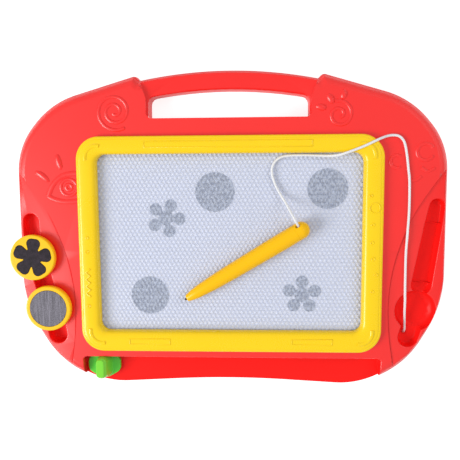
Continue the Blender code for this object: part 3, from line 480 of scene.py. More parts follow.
# %% Finish tools
class Finish:
    """A material that is written node by node."""

    def __init__(self, name, colour, roughness, **fixed):
        self.material = bpy.data.materials.new(name)
        self.material.use_nodes = True
        self.tree = self.material.node_tree
        self.shader = self.tree.nodes["Principled BSDF"]
        self.colour = colour
        self.shader.inputs["Base Color"].default_value = (*colour, 1.0)
        self.shader.inputs["Roughness"].default_value = roughness
        for socket, value in fixed.items():
            self.shader.inputs[socket.replace("_", " ")].default_value = value

    def node(self, kind, settings=None, output=0, **sockets):
        """A node of a kind, its settings made first, then the values or links of its sockets."""
        made = self.tree.nodes.new("ShaderNode" + kind)
        for name, value in (settings or {}).items():
            setattr(made, name, value)
        for name, value in sockets.items():
            slot = made.inputs[name.replace("_", " ")]
            if isinstance(value, Value):
                self.tree.links.new(value.socket, slot)
            else:
                slot.default_value = value
        return Value(self.tree, made.outputs[output])

    def place(self):
        """Object coordinates, in metres."""
        return self.node("TexCoord", output="Object")

    def along(self, axis):
        """One of the object coordinates, in metres."""
        return self.node("SeparateXYZ", output=axis, Vector=self.place())

    def around(self, x, y, turn=0.0):
        """Flat coordinates about a place, turned by an angle."""
        moved = self.node("Mapping", Vector=self.place(), Location=(-x, -y, 0.0), Scale=(1.0, 1.0, 0.0))
        return self.node("Mapping", Vector=moved, Rotation=(0.0, 0.0, -turn))

    def length(self, vector):
        """How long a vector is."""
        return self.node("VectorMath", {"operation": "LENGTH"}, output="Value", Vector=vector)

    def noise(self, size, detail=2.0, stretch=None):
        """Noise whose features are about a size across."""
        where = self.place()
        if stretch:
            where = self.node("Mapping", Vector=where, Scale=stretch)
        return self.node("TexNoise", Vector=where, Scale=1 / size, Detail=detail)

    def mix(self, share, first, second):
        """A colour between two colours."""
        made = self.tree.nodes.new("ShaderNodeMix")
        made.data_type = "RGBA"
        for slot, value in zip((made.inputs[0], made.inputs[6], made.inputs[7]), (share, first, second)):
            if isinstance(value, Value):
                self.tree.links.new(value.socket, slot)
            elif slot is made.inputs[0]:
                slot.default_value = value
            else:
                slot.default_value = (*value, 1.0)
        return Value(self.tree, made.outputs[2])

    def feed(self, socket, value):
        """Let a value drive one of the shader's sockets."""
        self.tree.links.new(value.socket, self.shader.inputs[socket])

    def bump(self, height, strength, distance):
        """Small relief that only the light sees."""
        bump = self.node("Bump", Height=height, Strength=strength, Distance=distance)
        self.feed("Normal", bump)


def tinted(colour, factor):
    """A colour made lighter or darker."""
    return tuple(min(part * factor, 1.0) for part in colour)


def srgb(red, green, blue):
    """A colour as seen on a screen, turned into the linear values that shaders use."""
    shares = [part / 255 for part in (red, green, blue)]
    return tuple(share / 12.92 if share <= 0.04 else ((share + 0.055) / 1.055) ** 2.4 for share in shares)


print("finish tools are ready")

# %% [markdown]
# ## Moulded plastic
# The shell, frame, pen and stamps are moulded from coloured plastic. Real mouldings are
# never quite even: the colour swims a little, the gloss varies where the plastic flowed,
# and the surface has a very fine grain. One recipe with different colours covers them.
# The red shell also gets a thin coat on its upper faces, where the lamp leaves a pale
# wash, and the knob's colour is painted a lighter lime towards the top of its fin, a
# painted highlight where the light falls on it.

# %% Plastic recipes
def moulded(name, colour, roughness, grain=0.25, swim=0.05, **fixed):
    """Coloured plastic with a slow swim of colour and gloss and a fine grain."""
    swim_size = 38 * mm
    grain_size = 0.8 * mm
    speck_size = 2.2 * mm
    finish = Finish(name, colour, roughness, **fixed)
    slow = finish.noise(swim_size, 3.0)
    fine = finish.noise(grain_size, 2.0)
    speck = finish.noise(speck_size, 2.0).above(0.68, 0.06)
    base = finish.mix(slow, tinted(colour, 1 - swim), tinted(colour, 1 + swim))
    finish.feed("Base Color", finish.mix(speck * 0.25, base, tinted(colour, 1.12)))
    finish.feed("Roughness", roughness + (slow - 0.5) * 0.16 + (fine - 0.5) * 0.08)
    finish.bump(fine * 0.6 + slow * 0.4, grain, 0.05 * mm)
    return finish


def shell_red():
    """Red plastic that shines on top and stays deep and plain down in the hollows."""
    coat_start = 18.5 * mm
    coat_fade = 3 * mm
    finish = moulded("red_moulding", red, 0.36, grain=0.4, IOR=1.25, Coat_IOR=1.65, Coat_Roughness=0.34)
    finish.feed("Coat Weight", finish.along("Z").above(coat_start, coat_fade))
    return finish.material


def knob_green():
    """Green plastic with a painted highlight: its colour turns a lighter lime towards the top of the fin."""
    painted_light_height = 20 * mm
    painted_light_fade = 12 * mm
    finish = moulded("green_moulding", green, 0.22)
    # The lighter lime towards the fin's top is painted light, not a colour of the plastic.
    painted_light_share = finish.along("Z").above(painted_light_height, painted_light_fade) * 0.55
    swim = finish.noise(16 * mm, 2.0) * 0.2
    finish.feed("Base Color", finish.mix((painted_light_share + swim).least(1.0), green, painted_lit_lime))
    return finish.material


print("plastic recipes are ready")

# %% [markdown]
# ## The plastics' colours
# The colours are those of the toy under plain light. The red, yellow and green are strong
# and clean, the stamps and the pen lean a little towards orange, and the hidden pieces
# are plain white.

# %% Plastic finishes
red = srgb(252, 30, 26)
yellow = srgb(255, 212, 8)
green = srgb(86, 216, 62)
# The lime is the fin's lit colour, painted on as a highlight.
painted_lit_lime = srgb(142, 222, 60)
red_plastic = shell_red()
red_inside = moulded("red_inside", tinted(red, 0.9), 0.5, grain=0.4).material
yellow_plastic = moulded("yellow_moulding", yellow, 0.27, swim=0.03).material
stamp_plastic = moulded("stamp_moulding", srgb(255, 200, 8), 0.3, swim=0.03).material
pen_plastic = moulded("pen_moulding", srgb(255, 194, 2), 0.26, swim=0.03, grain=0.12, IOR=1.4).material
green_plastic = knob_green()
white_plastic = moulded("white_moulding", srgb(236, 236, 232), 0.45).material
black_plastic = moulded("black_moulding", srgb(30, 29, 31), 0.4, swim=0.2).material
print("moulded finishes", [plastic.name for plastic in (red_plastic, yellow_plastic, pen_plastic)])

# %% [markdown]
# ## Magnet sheet, cord and steel
# The stamps' faces are cut from dark magnet sheet, which has a dull, slightly streaky
# face. The cord is braided, so its finish has fine slanting threads that follow it: a
# curve carries its own coordinates along and around, and two slanted waves cross there.
# The screws are plated steel with faint turning marks.

# %% Other recipes
def magnet_sheet(name, colour, stretch, contrast):
    """Dull magnet sheet with streaks and a fine speckle."""
    finish = Finish(name, colour, 0.42, IOR=1.3)
    streaks = finish.noise(3 * mm, 3.0, stretch=stretch)
    speckle = finish.noise(0.8 * mm, 3.0)
    dark = tinted(colour, 1 - contrast)
    pale = tinted(colour, 1 + contrast)
    finish.feed("Base Color", finish.mix((streaks + speckle - 0.5).above(0.5, 0.5), dark, pale))
    finish.feed("Roughness", 0.34 + streaks * 0.2)
    finish.bump(speckle * 0.6 + streaks * 0.4, 0.3, 0.05 * mm)
    return finish.material


def braided_cord(name, colour):
    """Two sets of slanted threads that cross along the cord."""
    finish = Finish(name, colour, 0.7, Sheen_Weight=0.2)
    along = finish.node("TexCoord", output="UV")
    stretched = finish.node("Mapping", Vector=along, Scale=(cord_length / cord_radius, 4.0, 1.0))
    threads = None
    for side in (1.0, -1.0):
        slanted = finish.node("Mapping", Vector=stretched, Scale=(1.0, side, 1.0))
        wave = finish.node("TexWave", {"bands_direction": "DIAGONAL"}, Vector=slanted,
                           Scale=0.32, Distortion=0.2)
        threads = wave * threads if threads else wave
    finish.feed("Base Color", finish.mix(threads, tinted(colour, 0.86), colour))
    finish.bump(threads, 0.5, 0.15 * mm)
    return finish.material


def plated_steel(name):
    """Plated steel with faint turning marks."""
    colour = srgb(176, 178, 184)
    finish = Finish(name, colour, 0.32, Metallic=1.0)
    rings = finish.noise(0.5 * mm, 2.0)
    finish.feed("Base Color", finish.mix(rings, tinted(colour, 0.85), colour))
    finish.feed("Roughness", 0.26 + rings * 0.18)
    finish.bump(rings, 0.2, 0.03 * mm)
    return finish.material


print("other recipes are ready")

# %% [markdown]
# ## Finishes for magnets, cord and screws
# The flower's magnet is nearly black and speckled. The round one is greyer, with long
# streaks from the sheet's rollers, which stretching the noise along one way gives.

# %% Other finishes
dark_magnet = magnet_sheet("dark_magnet", srgb(40, 31, 40), (1.0, 1.0, 1.0), 0.6)
grey_magnet = magnet_sheet("grey_magnet", srgb(118, 115, 124), (4.0, 0.15, 1.0), 0.5)
cord_white = braided_cord("cord_white", srgb(244, 245, 248))
steel = plated_steel("screw_plating")
cord.data.materials.append(cord_white)
print("cord and metal finishes are ready")

# %% [markdown]
# ## The red shell's sizes
# The measured shell already has every hollow and wall. Its lips and edges are rounded
# here, so the script needs to know where they are. Places beside the frame are written as
# shares of the margin there and of the shell's reach up or down. Channels, such as the
# groove, are a middle line with a half width at each point.

# %% Shell sizes
frame_half = Vector((132.05, 94.95)) * mm
side_margin = 56.35 * mm
reach_up = 150.6 * mm
reach_down = 129.5 * mm
plate_top = 22.0 * mm
tray_floor = 10.0 * mm
wing_start = 139.0 * mm
wing_step = 1.0 * mm
groove_width = 8.3 * mm
tray_width = 8.8 * mm
well_radius = 17.9 * mm
band_top = -101.9 * mm
band_bottom = -140 * mm
band_half = 133.0 * mm
handle_foot = Vector((76.6 * mm, 0.9495 * reach_up))


def place(share_x, share_y, side=1):
    """A place from its shares of the margin beside the frame and of the reach up or down."""
    reach = reach_up if share_y > 0 else reach_down
    return Vector((side * (frame_half.x + share_x * side_margin), share_y * reach, 0.0))


def wing_height(x):
    """Height of a wing's surface, which falls towards the side."""
    wing_slope = 0.05
    return plate_top - wing_step - wing_slope * (abs(x) - wing_start)


def channel_points(path, end_steps=16):
    """Outline of a channel with round ends; the third number of each point is its half width."""
    points = [Vector((point.x, point.y, 0.0)) for point in path]
    sides = []
    for index, point in enumerate(path):
        along = (points[min(index + 1, len(path) - 1)] - points[max(index - 1, 0)]).normalized()
        sides.append(Vector((along.y, -along.x, 0.0)) * point.z)
    outline = [point + side for point, side in zip(points, sides)]
    for step in range(1, end_steps):
        outline.append(points[-1] + Matrix.Rotation(math.pi * step / end_steps, 3, "Z") @ sides[-1])
    outline += [point - side for point, side in reversed(list(zip(points, sides)))]
    for step in range(1, end_steps):
        outline.append(points[0] - Matrix.Rotation(math.pi * step / end_steps, 3, "Z") @ sides[0])
    return outline


def channel_path(width, shares, side=1):
    """Points of a channel's middle line, each with its own share of the full half width."""
    return [place(x, y, side) + Vector((0.0, 0.0, share * width)) for x, y, share in shares]


def circle_points(centre, radius, sides=64):
    """An outline round a centre."""
    turns = [2 * math.pi * side / sides for side in range(sides)]
    return [centre + Vector((radius * math.cos(turn), radius * math.sin(turn), 0.0)) for turn in turns]


print("the wing at its outer end is", round(wing_height(frame_half.x + side_margin) / mm, 1), "mm high")

# %% [markdown]
# ## The hollows' outlines
# The stamp groove runs down the left side. The pen tray, the round finger well and the
# recess for the cord's end are on the right, and the eraser band lies along the bottom. A
# long bent crease marks the foot of the step between the plate and each wing.

# %% Hollow outlines
groove_shares = (
    (0.792, 0.139, 0.83), (0.785, 0.070, 0.87), (0.7355, -0.0795, 0.95),
    (0.627, -0.260, 0.99), (0.517, -0.432, 1.0), (0.423, -0.629, 0.99),
)
tray_shares = ((0.831, 0.218, 0.74), (0.785, 0.1195, 0.84), (0.624, -0.274, 1.0))
recess_shares = ((0.514, -0.533, 1.0), (0.436, -0.636, 1.0))
crease_shares = (
    (1.2005, 0.532), (0.922, 0.420), (0.656, 0.282), (0.478, 0.173), (0.322, 0.0385), (0.2085, -0.108),
    (0.141, -0.2625), (0.113, -0.432), (0.134, -0.606), (0.177, -0.750), (0.230, -0.870), (0.292, -0.960),
)
groove = channel_points(smooth_points(channel_path(groove_width, groove_shares, -1), 6))
tray = channel_points(channel_path(tray_width, tray_shares))
recess = channel_points(channel_path(tray_width, recess_shares))
well = circle_points(place(0.5385, -0.454), well_radius)
band = rounded_points(box_corners(-band_half, band_bottom, band_half, band_top, 1 * mm, 3 * mm))
crease = smooth_points([place(x, y) for x, y in crease_shares], 5)
print("points round the groove", len(groove))

# %% [markdown]
# ## Lips, creases and the outer edge
# What a real moulding adds to the plain shell is rounded lips, which catch the light round
# each hollow. A lip is made by a flared tool: it is as wide as the hollow below and spreads
# in a quarter circle up to the surface. The wings slope, so the tools over them take their
# heights from the slope. The outer edge is rounded by keeping only what lies inside a body
# with a soft quarter round.

# %% Shell tools
tool_reach = 4 * mm


def lip_tool(name, outline, surface, radius):
    """A flared tool that smooths a hollow's upper wall and rounds its edge at a surface."""
    steps = 5
    top = surface if callable(surface) else (lambda x: surface)
    spread = 0.06 * mm
    foot = tray_floor + 4.2 * mm
    rings = [at_height(offset_points(outline, spread), foot)]
    for step in range(steps + 1):
        turn = math.pi / 2 * step / steps
        out = spread + radius * (1 - math.cos(turn))
        sunk = radius * (1 - math.sin(turn))
        rings.append(at_height(offset_points(outline, out), lambda x, sunk=sunk: top(x) - sunk))
    rings.append(at_height(offset_points(outline, radius * 1.4), lambda x: top(x) + tool_reach))
    return skinned(name, rings)


def crease_tool(name, side):
    """A thin tool that cuts a fine line along the foot of the step between plate and wing."""
    half_width = 0.4 * mm
    depth = 0.6 * mm
    crease_right = 181 * mm
    crease_low = -114 * mm
    line = [Vector((side * point.x, point.y, half_width)) for point in crease
            if point.x < crease_right and point.y > crease_low]
    outline = channel_points(line if side > 0 else line[::-1], 6)
    return skinned(name, [at_height(outline, lambda x: wing_height(x) - depth),
                          at_height(outline, plate_top + tool_reach)])


def crown_corners(half, side_height, top_height, steps):
    """Plain corners on the round arc over a span, from right to left, without its ends."""
    rise = top_height - side_height
    radius = (half**2 + rise**2) / (2 * rise)
    turns = [math.asin(half / radius) * (1 - 2 * step / steps) for step in range(1, steps)]
    return [(radius * math.sin(turn), top_height - radius + radius * math.cos(turn), 0) for turn in turns]


def board_points(inset):
    """The shell's outline with fine arcs, moved in by inset."""
    step_end = 80.5 * mm
    right = [(*place(x, y).xy, radius * mm) for x, y, radius in (
        (-0.297, -1.001, 74), (0.452, -0.825, 79), (0.998, -0.419, 104),
        (0.991, 0.575, 73), (0.421, 0.831, 76))]
    right += [(step_end, 0.978 * reach_up, 4 * mm), (*handle_foot, 2 * mm)]
    left = [(-x, y, radius) for x, y, radius in reversed(right)]
    crown = crown_corners(handle_foot.x, handle_foot.y, reach_up, 40)
    bottom_radius = 900 * mm
    return rounded_points([*right, *crown, *left, (0.0, -0.952 * reach_down, bottom_radius)], 24, inset)


def edge_tool():
    """A body with the shell's outside: a soft quarter round from the side up to the plate."""
    width = 9.0 * mm
    skim_side = 0.2 * mm
    skim_top = 0.03 * mm
    shares = [Vector(pair) for pair in ((0.06, 0.75), (0.28, 0.36), (0.58, 0.12), (1.0, 0.0))]
    levels = [(1.8 * mm, -1.0 * mm), (0.0, width)]
    levels += [(width * share.x, plate_top - width * share.y) for share in smooth_points(shares, 3)]
    return skinned("edge_tool", [at_height(board_points(inset + skim_side), height - skim_top)
                                 for inset, height in levels])


print("shell tools are ready")

# %% [markdown]
# ## Cutting the shell
# The rounded body goes first, and then all the lips and creases in one cut. The hole for
# the cord gets a small collar of its own, bridged from circles.

# %% Shell
narrow_lip = 1.0 * mm
wide_lip = 1.2 * mm
shell = as_object("board_shell", merged_copy("front_shell"))
carve(shell, [edge_tool()], "INTERSECT")
tools = [
    lip_tool("groove_lip", groove, wing_height, narrow_lip),
    lip_tool("tray_lip", tray, wing_height, wide_lip),
    lip_tool("recess_lip", recess, wing_height, narrow_lip),
    lip_tool("well_lip", well, wing_height, wide_lip),
    lip_tool("band_lip", band, plate_top, wide_lip),
    crease_tool("right_crease", 1),
    crease_tool("left_crease", -1),
]
carve(shell, tools)
shade_evenly(shell)
keep(shell, "board", red_plastic, ["front_shell"])
collar_place = place(0.4073, -0.6170)
collar_section = ((2.6 * mm, 8.2 * mm), (2.6 * mm, 9.3 * mm), (1.3 * mm, 9.35 * mm), (1.3 * mm, 8.15 * mm))
collar = skinned("cord_hole_collar", [at_height(circle_points(collar_place, radius, 32), height)
                                      for radius, height in collar_section], closed=True)
keep(collar, "board", red_plastic)
print("faces in the shell", len(shell.data.polygons))

# %% [markdown]
# ## Raised patterns on the shell
# The red plate carries simple raised patterns in its own colour: a spiral, a spiral with
# rays, an eye with two lashes and a few arcs. They are low ridges. A thickened curve sunk
# most of its depth into the plate gives such a ridge with soft edges. Lines are drawn from
# arcs and from smooth runs, with their places in millimetres.

# %% Pattern lines
def arc_line(x, y, radius, first, last, height, growth=0.0):
    """Points along an arc between two angles in degrees; the radius may grow on the way."""
    degrees_a_step = 8
    steps = max(round(abs(last - first) / degrees_a_step), 2)
    line = []
    for step in range(steps + 1):
        turn = math.radians(first + (last - first) * step / steps)
        reach = radius + growth * step / steps
        line.append(Vector((x + reach * math.cos(turn), y + reach * math.sin(turn), height / mm)) * mm)
    return line


def flat_line(height, *places, steps=5):
    """A smooth line through flat places in millimetres, at a height."""
    return smooth_points([Vector((x * mm, y * mm, height)) for x, y in places], steps)


print("pattern lines are ready")

# %% [markdown]
# ## The shell's ridges
# The spirals, rings and arcs are thin ridges. The lashes and the rays are fat drops that
# taper to their ends, and the eye's lids are broad. The thicker a bar is, the deeper its
# middle lies, so that all of them stand up by only 0.8 to 1.6 mm.

# %% Raised patterns
ridge = plate_top - 1.15 * mm
drop = plate_top - 1.95 * mm
lid = plate_top - 2.85 * mm
ridge_radius = 1.95 * mm
drop_radius = 3.5 * mm
lid_radius = 3.8 * mm
patterns = thick_curve("raised_patterns", [
    arc_line(-97.9, 116.0, 2.2, -490, 300, ridge, 14.0),
    arc_line(94.0, 111.3, 2.4, -60, 470, ridge, 9.6),
    arc_line(-140.2, 51.2, 7.2, 20, 340, ridge),
    arc_line(-140.2, 51.2, 2.6, 0, 360, ridge),
    arc_line(166.7, 79.4, 7.0, 30, 330, ridge),
    flat_line(ridge, (163.5, 66.5), (168.5, 63.0), (174.5, 65.5)),
    flat_line(ridge, (154.0, 55.0), (159.0, 55.5), (163.5, 58.5)),
    arc_line(142.9, 71.4, 5.4, 60, 300, ridge),
], ridge_radius)
drops = thick_curve("raised_drops", [
    flat_line(drop, (-150.0, 81.0), (-148.6, 73.5), (-146.2, 66.0)),
    flat_line(drop, (-170.0, 65.6), (-163.4, 61.4), (-156.8, 55.4)),
    flat_line(drop, (83.4, 116.6), (79.1, 117.7), (73.6, 119.0)),
    flat_line(drop, (89.2, 120.2), (86.7, 124.4), (83.8, 129.0)),
    flat_line(drop, (97.0, 123.6), (97.5, 127.6), (98.4, 132.2)),
], drop_radius, oval=True)
lids = thick_curve("raised_lids", [
    flat_line(lid, (-159.0, 43.4), (-154.2, 53.5), (-147.2, 60.4), (-140.0, 62.9), (-133.0, 63.4)),
    flat_line(lid, (-159.0, 43.4), (-152.0, 40.2), (-143.4, 38.6), (-133.0, 39.2)),
], lid_radius)
for piece in (patterns, lids, drops):
    keep(piece, "board", red_plastic)
print("ridges", sum(len(piece.data.splines) for piece in (patterns, lids, drops)))

# %% [markdown]
# ## The yellow frame
# The frame is one moulding with a crowned face. Its section changes from the outside to
# the window, where a skirt goes down to the film, so it is bridged through rounded
# rectangles. Each rectangle starts as four corner points. The section is written as
# shares of the way in and of the height, and closes on itself below the face.

# %% Frame
frame_inner = Vector((115.05, 77.95)) * mm
frame_height = 5.8 * mm
window_rise = 1.4 * mm
outer_radius = 20.0 * mm
window_radius = 8.0 * mm


def frame_ring(share, height):
    """The frame's outline at a share of the way in from its edge, at a share of its height."""
    half = frame_half.lerp(frame_inner, share)
    radius = outer_radius + (window_radius - outer_radius) * share
    rise = window_rise * share
    corners = box_corners(-half.x, rise - half.y, half.x, rise + half.y, radius, radius)
    return at_height(rounded_points(corners, 16), plate_top + frame_height * height)


frame_shares = (
    (0.000, 0.05), (0.000, 0.62), (0.006, 0.71), (0.024, 0.79), (0.055, 0.86), (0.095, 0.905),
    (0.115, 0.915), (0.125, 0.893), (0.140, 0.897), (0.150, 0.925), (0.22, 0.955), (0.34, 0.985),
    (0.46, 1.000), (0.58, 0.990), (0.68, 0.965), (0.77, 0.915), (0.85, 0.835), (0.91, 0.72),
    (0.95, 0.56), (0.975, 0.36), (0.99, 0.10), (1.00, -0.36),
    (0.90, -0.33), (0.80, 0.54), (0.12, 0.56), (0.12, 0.06),
)
frame_rings = [frame_ring(share, height) for share, height in frame_shares]
screen_frame = skinned("screen_frame", frame_rings, closed=True, smooth_limit=50)
keep(screen_frame, "board", yellow_plastic, ["bezel"])
print("frame faces", len(screen_frame.data.polygons))

# %% [markdown]
# ## Raised patterns on the frame
# The frame has its own low patterns in yellow: a zigzag and dots at the left, rings and
# dots at the right, long bars above and below and a crescent at each corner. They are
# thin curves as well, and closed ones make the dots, rings and bars.

# %% Frame patterns
crown = plate_top + frame_height
fine = crown - 0.25 * mm
dot_radius = 1.3
ring_radius = 4.3
loop_radius = 0.7 * mm
zigzag_radius = 1.25 * mm
crescent_radius = 2.4 * mm


def ring_line(x, y, radius, height):
    """Points of a closed ring, without the last one, which would lie on the first."""
    return arc_line(x, y, radius, 0, 352, height)


def bar_line(left, right, y, half_height, height):
    """A long flat bar's outline."""
    corners = ((left, y - half_height), (right, y - half_height),
               (right, y + half_height), (left, y + half_height))
    return [Vector((x * mm, corner_y * mm, height)) for x, corner_y in corners]


def zigzag_line(first_y, step_down, right, left, height, turns):
    """A line that goes down the frame in even turns between two sides."""
    line = []
    for step in range(turns):
        x = left if step % 2 else right
        line.append(Vector((x * mm, (first_y - step_down * step) * mm, height)))
    return line


loops = [ring_line(x, y, dot_radius, fine) for x, y in (
    (-124.3, 7.1), (-124.7, -5.3), (-124.7, -53.7), (120.7, 42.6), (122.8, 17.9), (122.3, 2.4),
    (123.4, -11.4), (126.0, -25.3), (123.1, -40.2))]
loops.append(ring_line(124.2, 32.4, ring_radius, fine))
loops += [bar_line(-89.0, -53.0, -85.8, 2.4, fine), bar_line(54.5, 89.5, -85.4, 2.4, fine),
          bar_line(-72.5, 71.0, 87.6, 2.6, fine)]
frame_loops = thick_curve("frame_loops", loops, loop_radius, closed=True)
zigzag = zigzag_line(-20.5, 3.1, -122.6, -126.4, crown - 0.6 * mm, 9)
frame_lines = thick_curve("frame_lines", [zigzag], zigzag_radius)
corner_arc = arc_line(113.5, 76.5, 10.5, -12, 102, crown - 1.5 * mm)
crescents = thick_curve("frame_crescents", [
    [Vector((side_x * point.x, side_y * point.y, point.z)) for point in corner_arc]
    for side_x in (1, -1) for side_y in (1, -1)], crescent_radius)
for piece in (frame_loops, frame_lines, crescents):
    keep(piece, "board", yellow_plastic)
print("frame patterns", sum(len(piece.data.splines) for piece in (frame_loops, frame_lines, crescents)))

# %% [markdown]
# ## The screen's cells
# Under a clear film lies a sheet of small six-sided cells, each a well of milky liquid
# with a little dark powder. One cell is made by two insets in a six-sided face, the second
# of which sinks. It is then doubled again and again across the sheet, which is far quicker
# than making thousands of cells one by one.

# %% Screen cells
cell_pitch = 3.84 * mm
cell_row = cell_pitch * math.sqrt(3) / 2
cell_wall = 0.9 * mm
cell_depth = 0.9 * mm
well_slope = 0.12 * mm
core_low, core_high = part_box("honeycomb_core")


def all_parts(shape):
    """Every point, edge and face of a mesh."""
    return shape.verts[:] + shape.edges[:] + shape.faces[:]


def only_verts(parts):
    """The points among some parts of a mesh."""
    return [part for part in parts if isinstance(part, bmesh.types.BMVert)]


shape = bmesh.new()
bmesh.ops.create_circle(shape, cap_ends=True, segments=6, radius=cell_pitch / math.sqrt(3))
bmesh.ops.inset_individual(shape, faces=shape.faces[:], thickness=cell_wall / 2, depth=0.0)
well_face = min(shape.faces, key=lambda face: face.calc_center_median().length)
bmesh.ops.inset_individual(shape, faces=[well_face], thickness=well_slope, depth=-cell_depth)
shifts = [Vector((cell_pitch * 2**n, 0, 0)) for n in range(6)]
shifts.append(Vector((cell_pitch / 2, cell_row, 0)))
shifts += [Vector((0, cell_row * 2**n, 0)) for n in range(1, 6)]
for shift in shifts:
    copy = bmesh.ops.duplicate(shape, geom=all_parts(shape))
    bmesh.ops.translate(shape, vec=shift, verts=only_verts(copy["geom"]))
bmesh.ops.translate(shape, vec=(core_low.x, core_low.y, core_high.z), verts=shape.verts)
bmesh.ops.remove_doubles(shape, verts=shape.verts, dist=0.01 * mm)
print("faces before the sheet is trimmed", len(shape.faces))

# %% [markdown]
# ## Trimming the sheet
# The doubled cells reach past the sheet's edges, so four planes cut it to size. Its rim is
# then drawn down to the foot and closed with one face, which makes it a solid sheet.

# %% Screen sheet
trims = ((core_low, (-1, 0, 0)), (core_high, (1, 0, 0)), (core_low, (0, -1, 0)), (core_high, (0, 1, 0)))
for corner, direction in trims:
    bmesh.ops.bisect_plane(shape, geom=all_parts(shape), dist=0.001 * mm,
                           plane_co=corner, plane_no=direction, clear_outer=True)
rim = [edge for edge in shape.edges if edge.is_boundary]
skirt = bmesh.ops.extrude_edge_only(shape, edges=rim)["geom"]
foot = only_verts(skirt)
for vert in foot:
    vert.co.z = core_low.z
bmesh.ops.remove_doubles(shape, verts=foot, dist=0.01 * mm)
bmesh.ops.contextual_create(shape, geom=[edge for edge in shape.edges if edge.is_boundary])
bmesh.ops.dissolve_degenerate(shape, edges=shape.edges, dist=0.001 * mm)
print("open edges in the sheet", sum(edge.is_boundary for edge in shape.edges))
cells = as_object("screen_cells", shape, 30)
print("cell faces", len(cells.data.polygons))

# %% [markdown]
# ## What the stamps have drawn
# Where a magnet touched the film the powder rises and the cells look grey. Three discs and
# two flowers are drawn on the screen. Each mark is a measure of how far a place lies from
# the mark's middle, so it has a clean edge at any scale. The flower folds the circle into
# fifths, so that one petal serves for all five.

# %% Drawn marks
mark_edge = 0.5 * mm


def disc_mark(finish, x, y, radius):
    """1 inside a disc that a round stamp has drawn."""
    return finish.length(finish.around(x, y)).below(radius, mark_edge)


def flower_mark(finish, x, y, turn):
    """1 inside five round petals on narrow necks, found in one fifth of the circle."""
    petal_reach = 11.7 * mm
    petal_radius = 5.6 * mm
    neck_half = 2.4 * mm
    neck_reach = 11 * mm
    heart_radius = 6.6 * mm
    around = finish.around(x, y, turn)
    side = finish.node("SeparateXYZ", output="Y", Vector=around)
    ahead = finish.node("SeparateXYZ", output="X", Vector=around)
    reach = finish.length(around)
    folded = side.combine("ARCTAN2", side, ahead)
    folded = folded.combine("PINGPONG", folded, math.pi / 5)
    out = reach * folded.combine("COSINE", folded, 0.0)
    across = reach * folded.combine("SINE", folded, 0.0)
    from_petal = finish.node("CombineXYZ", X=out - petal_reach, Y=across)
    petal = finish.length(from_petal).below(petal_radius, mark_edge)
    neck = across.below(neck_half, mark_edge) * out.below(neck_reach, mark_edge)
    return petal.most(neck).most(reach.below(heart_radius, 2 * mark_edge))


print("marks are ready")

# %% [markdown]
# ## The screen's finishes
# The cells' walls are lavender and their milk is nearly white, so the depth below the top
# decides between the two. In the marks a fine maze of powder darkens both. The film over
# them is clear with a faint haze and a few rub marks.

# %% Screen finishes
def cell_finish():
    """Milky cells between lavender walls, and grey powder where a stamp was pressed."""
    wall = srgb(210, 217, 238)
    milk = srgb(241, 244, 254)
    finish = Finish("screen_cell_finish", wall, 0.5)
    in_cell = finish.along("Z").below(core_high.z - cell_depth / 2, cell_depth / 2)
    patches = finish.noise(14 * mm, 2.0)
    plain = finish.mix(in_cell, wall, finish.mix(patches, tinted(milk, 0.97), milk))
    drawn = flower_mark(finish, -55.8 * mm, 23.6 * mm, math.radians(68))
    drawn = drawn.most(flower_mark(finish, 63.6 * mm, -45.0 * mm, math.radians(89)))
    discs = ((-12.4, 46.2, 17.3), (85.4, 48.6, 17.6), (-71.3, -45.6, 16.9))
    for x, y, radius in discs:
        drawn = drawn.most(disc_mark(finish, x * mm, y * mm, radius * mm))
    maze = finish.noise(2.6 * mm, 2.0, stretch=(1.5, 0.8, 1.0))
    powder = maze.above(0.5, 0.16) * 0.6 + in_cell * 0.4
    marked = finish.mix(powder, srgb(120, 131, 158), srgb(206, 215, 232))
    finish.feed("Base Color", finish.mix(drawn, plain, marked))
    finish.bump(patches, 0.1, 0.05 * mm)
    return finish.material


def clear_film(name, colour, clearness):
    """A thin clear film with faint haze and rub marks."""
    finish = Finish(name, colour, 0.12, IOR=1.45)
    haze = finish.noise(30 * mm, 3.0)
    rubs = finish.noise(4 * mm, 4.0, stretch=(6.0, 0.6, 1.0))
    finish.feed("Roughness", 0.10 + haze * 0.10 + rubs * 0.06)
    finish.feed("Alpha", 1 - clearness + (haze - 0.5) * 0.05)
    return finish.material


keep(cells, "board", cell_finish(), ["honeycomb_core"])
print("cells and marks have their finish")

# %% [markdown]
# ## The film
# The clear film is a thin plate with round corners that covers the cells. Its edges are
# rounded a little, as a cut film's are.

# %% Film
film_low, film_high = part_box("front_film")
film_corners = box_corners(film_low.x, film_low.y, film_high.x, film_high.y, window_radius, window_radius)
film = as_object("screen_film", plate(rounded_points(film_corners), film_low.z, film_high.z, 0.12 * mm, 2))
keep(film, "board", clear_film("film_clear", srgb(222, 226, 238), 0.86), ["front_film"])
print("film between", round(film_low.z / mm, 1), "and", round(film_high.z / mm, 1))

# %% [markdown]
# ## The stamps' sizes and outlines
# Each stamp is a round yellow cup with a dark magnet in its face and a grip below, which
# stands in the groove. The cup's section is a run of points with a quarter round at its
# upper edge. The flower is an outline of fifteen corners: two broad ones for each petal
# and a tight one for each notch.

# %% Stamp outlines
stamp_low = tray_floor + 0.3 * mm
stamp_under = 21.3 * mm
stamp_top = 28.7 * mm
stamp_radius = 20.2 * mm
magnet_depth = 2.6 * mm
magnet_gap = 0.3 * mm
round_magnet_radius = 16.3 * mm
flower_place = place(0.7355, -0.0795, -1)
round_place = place(0.517, -0.432, -1)


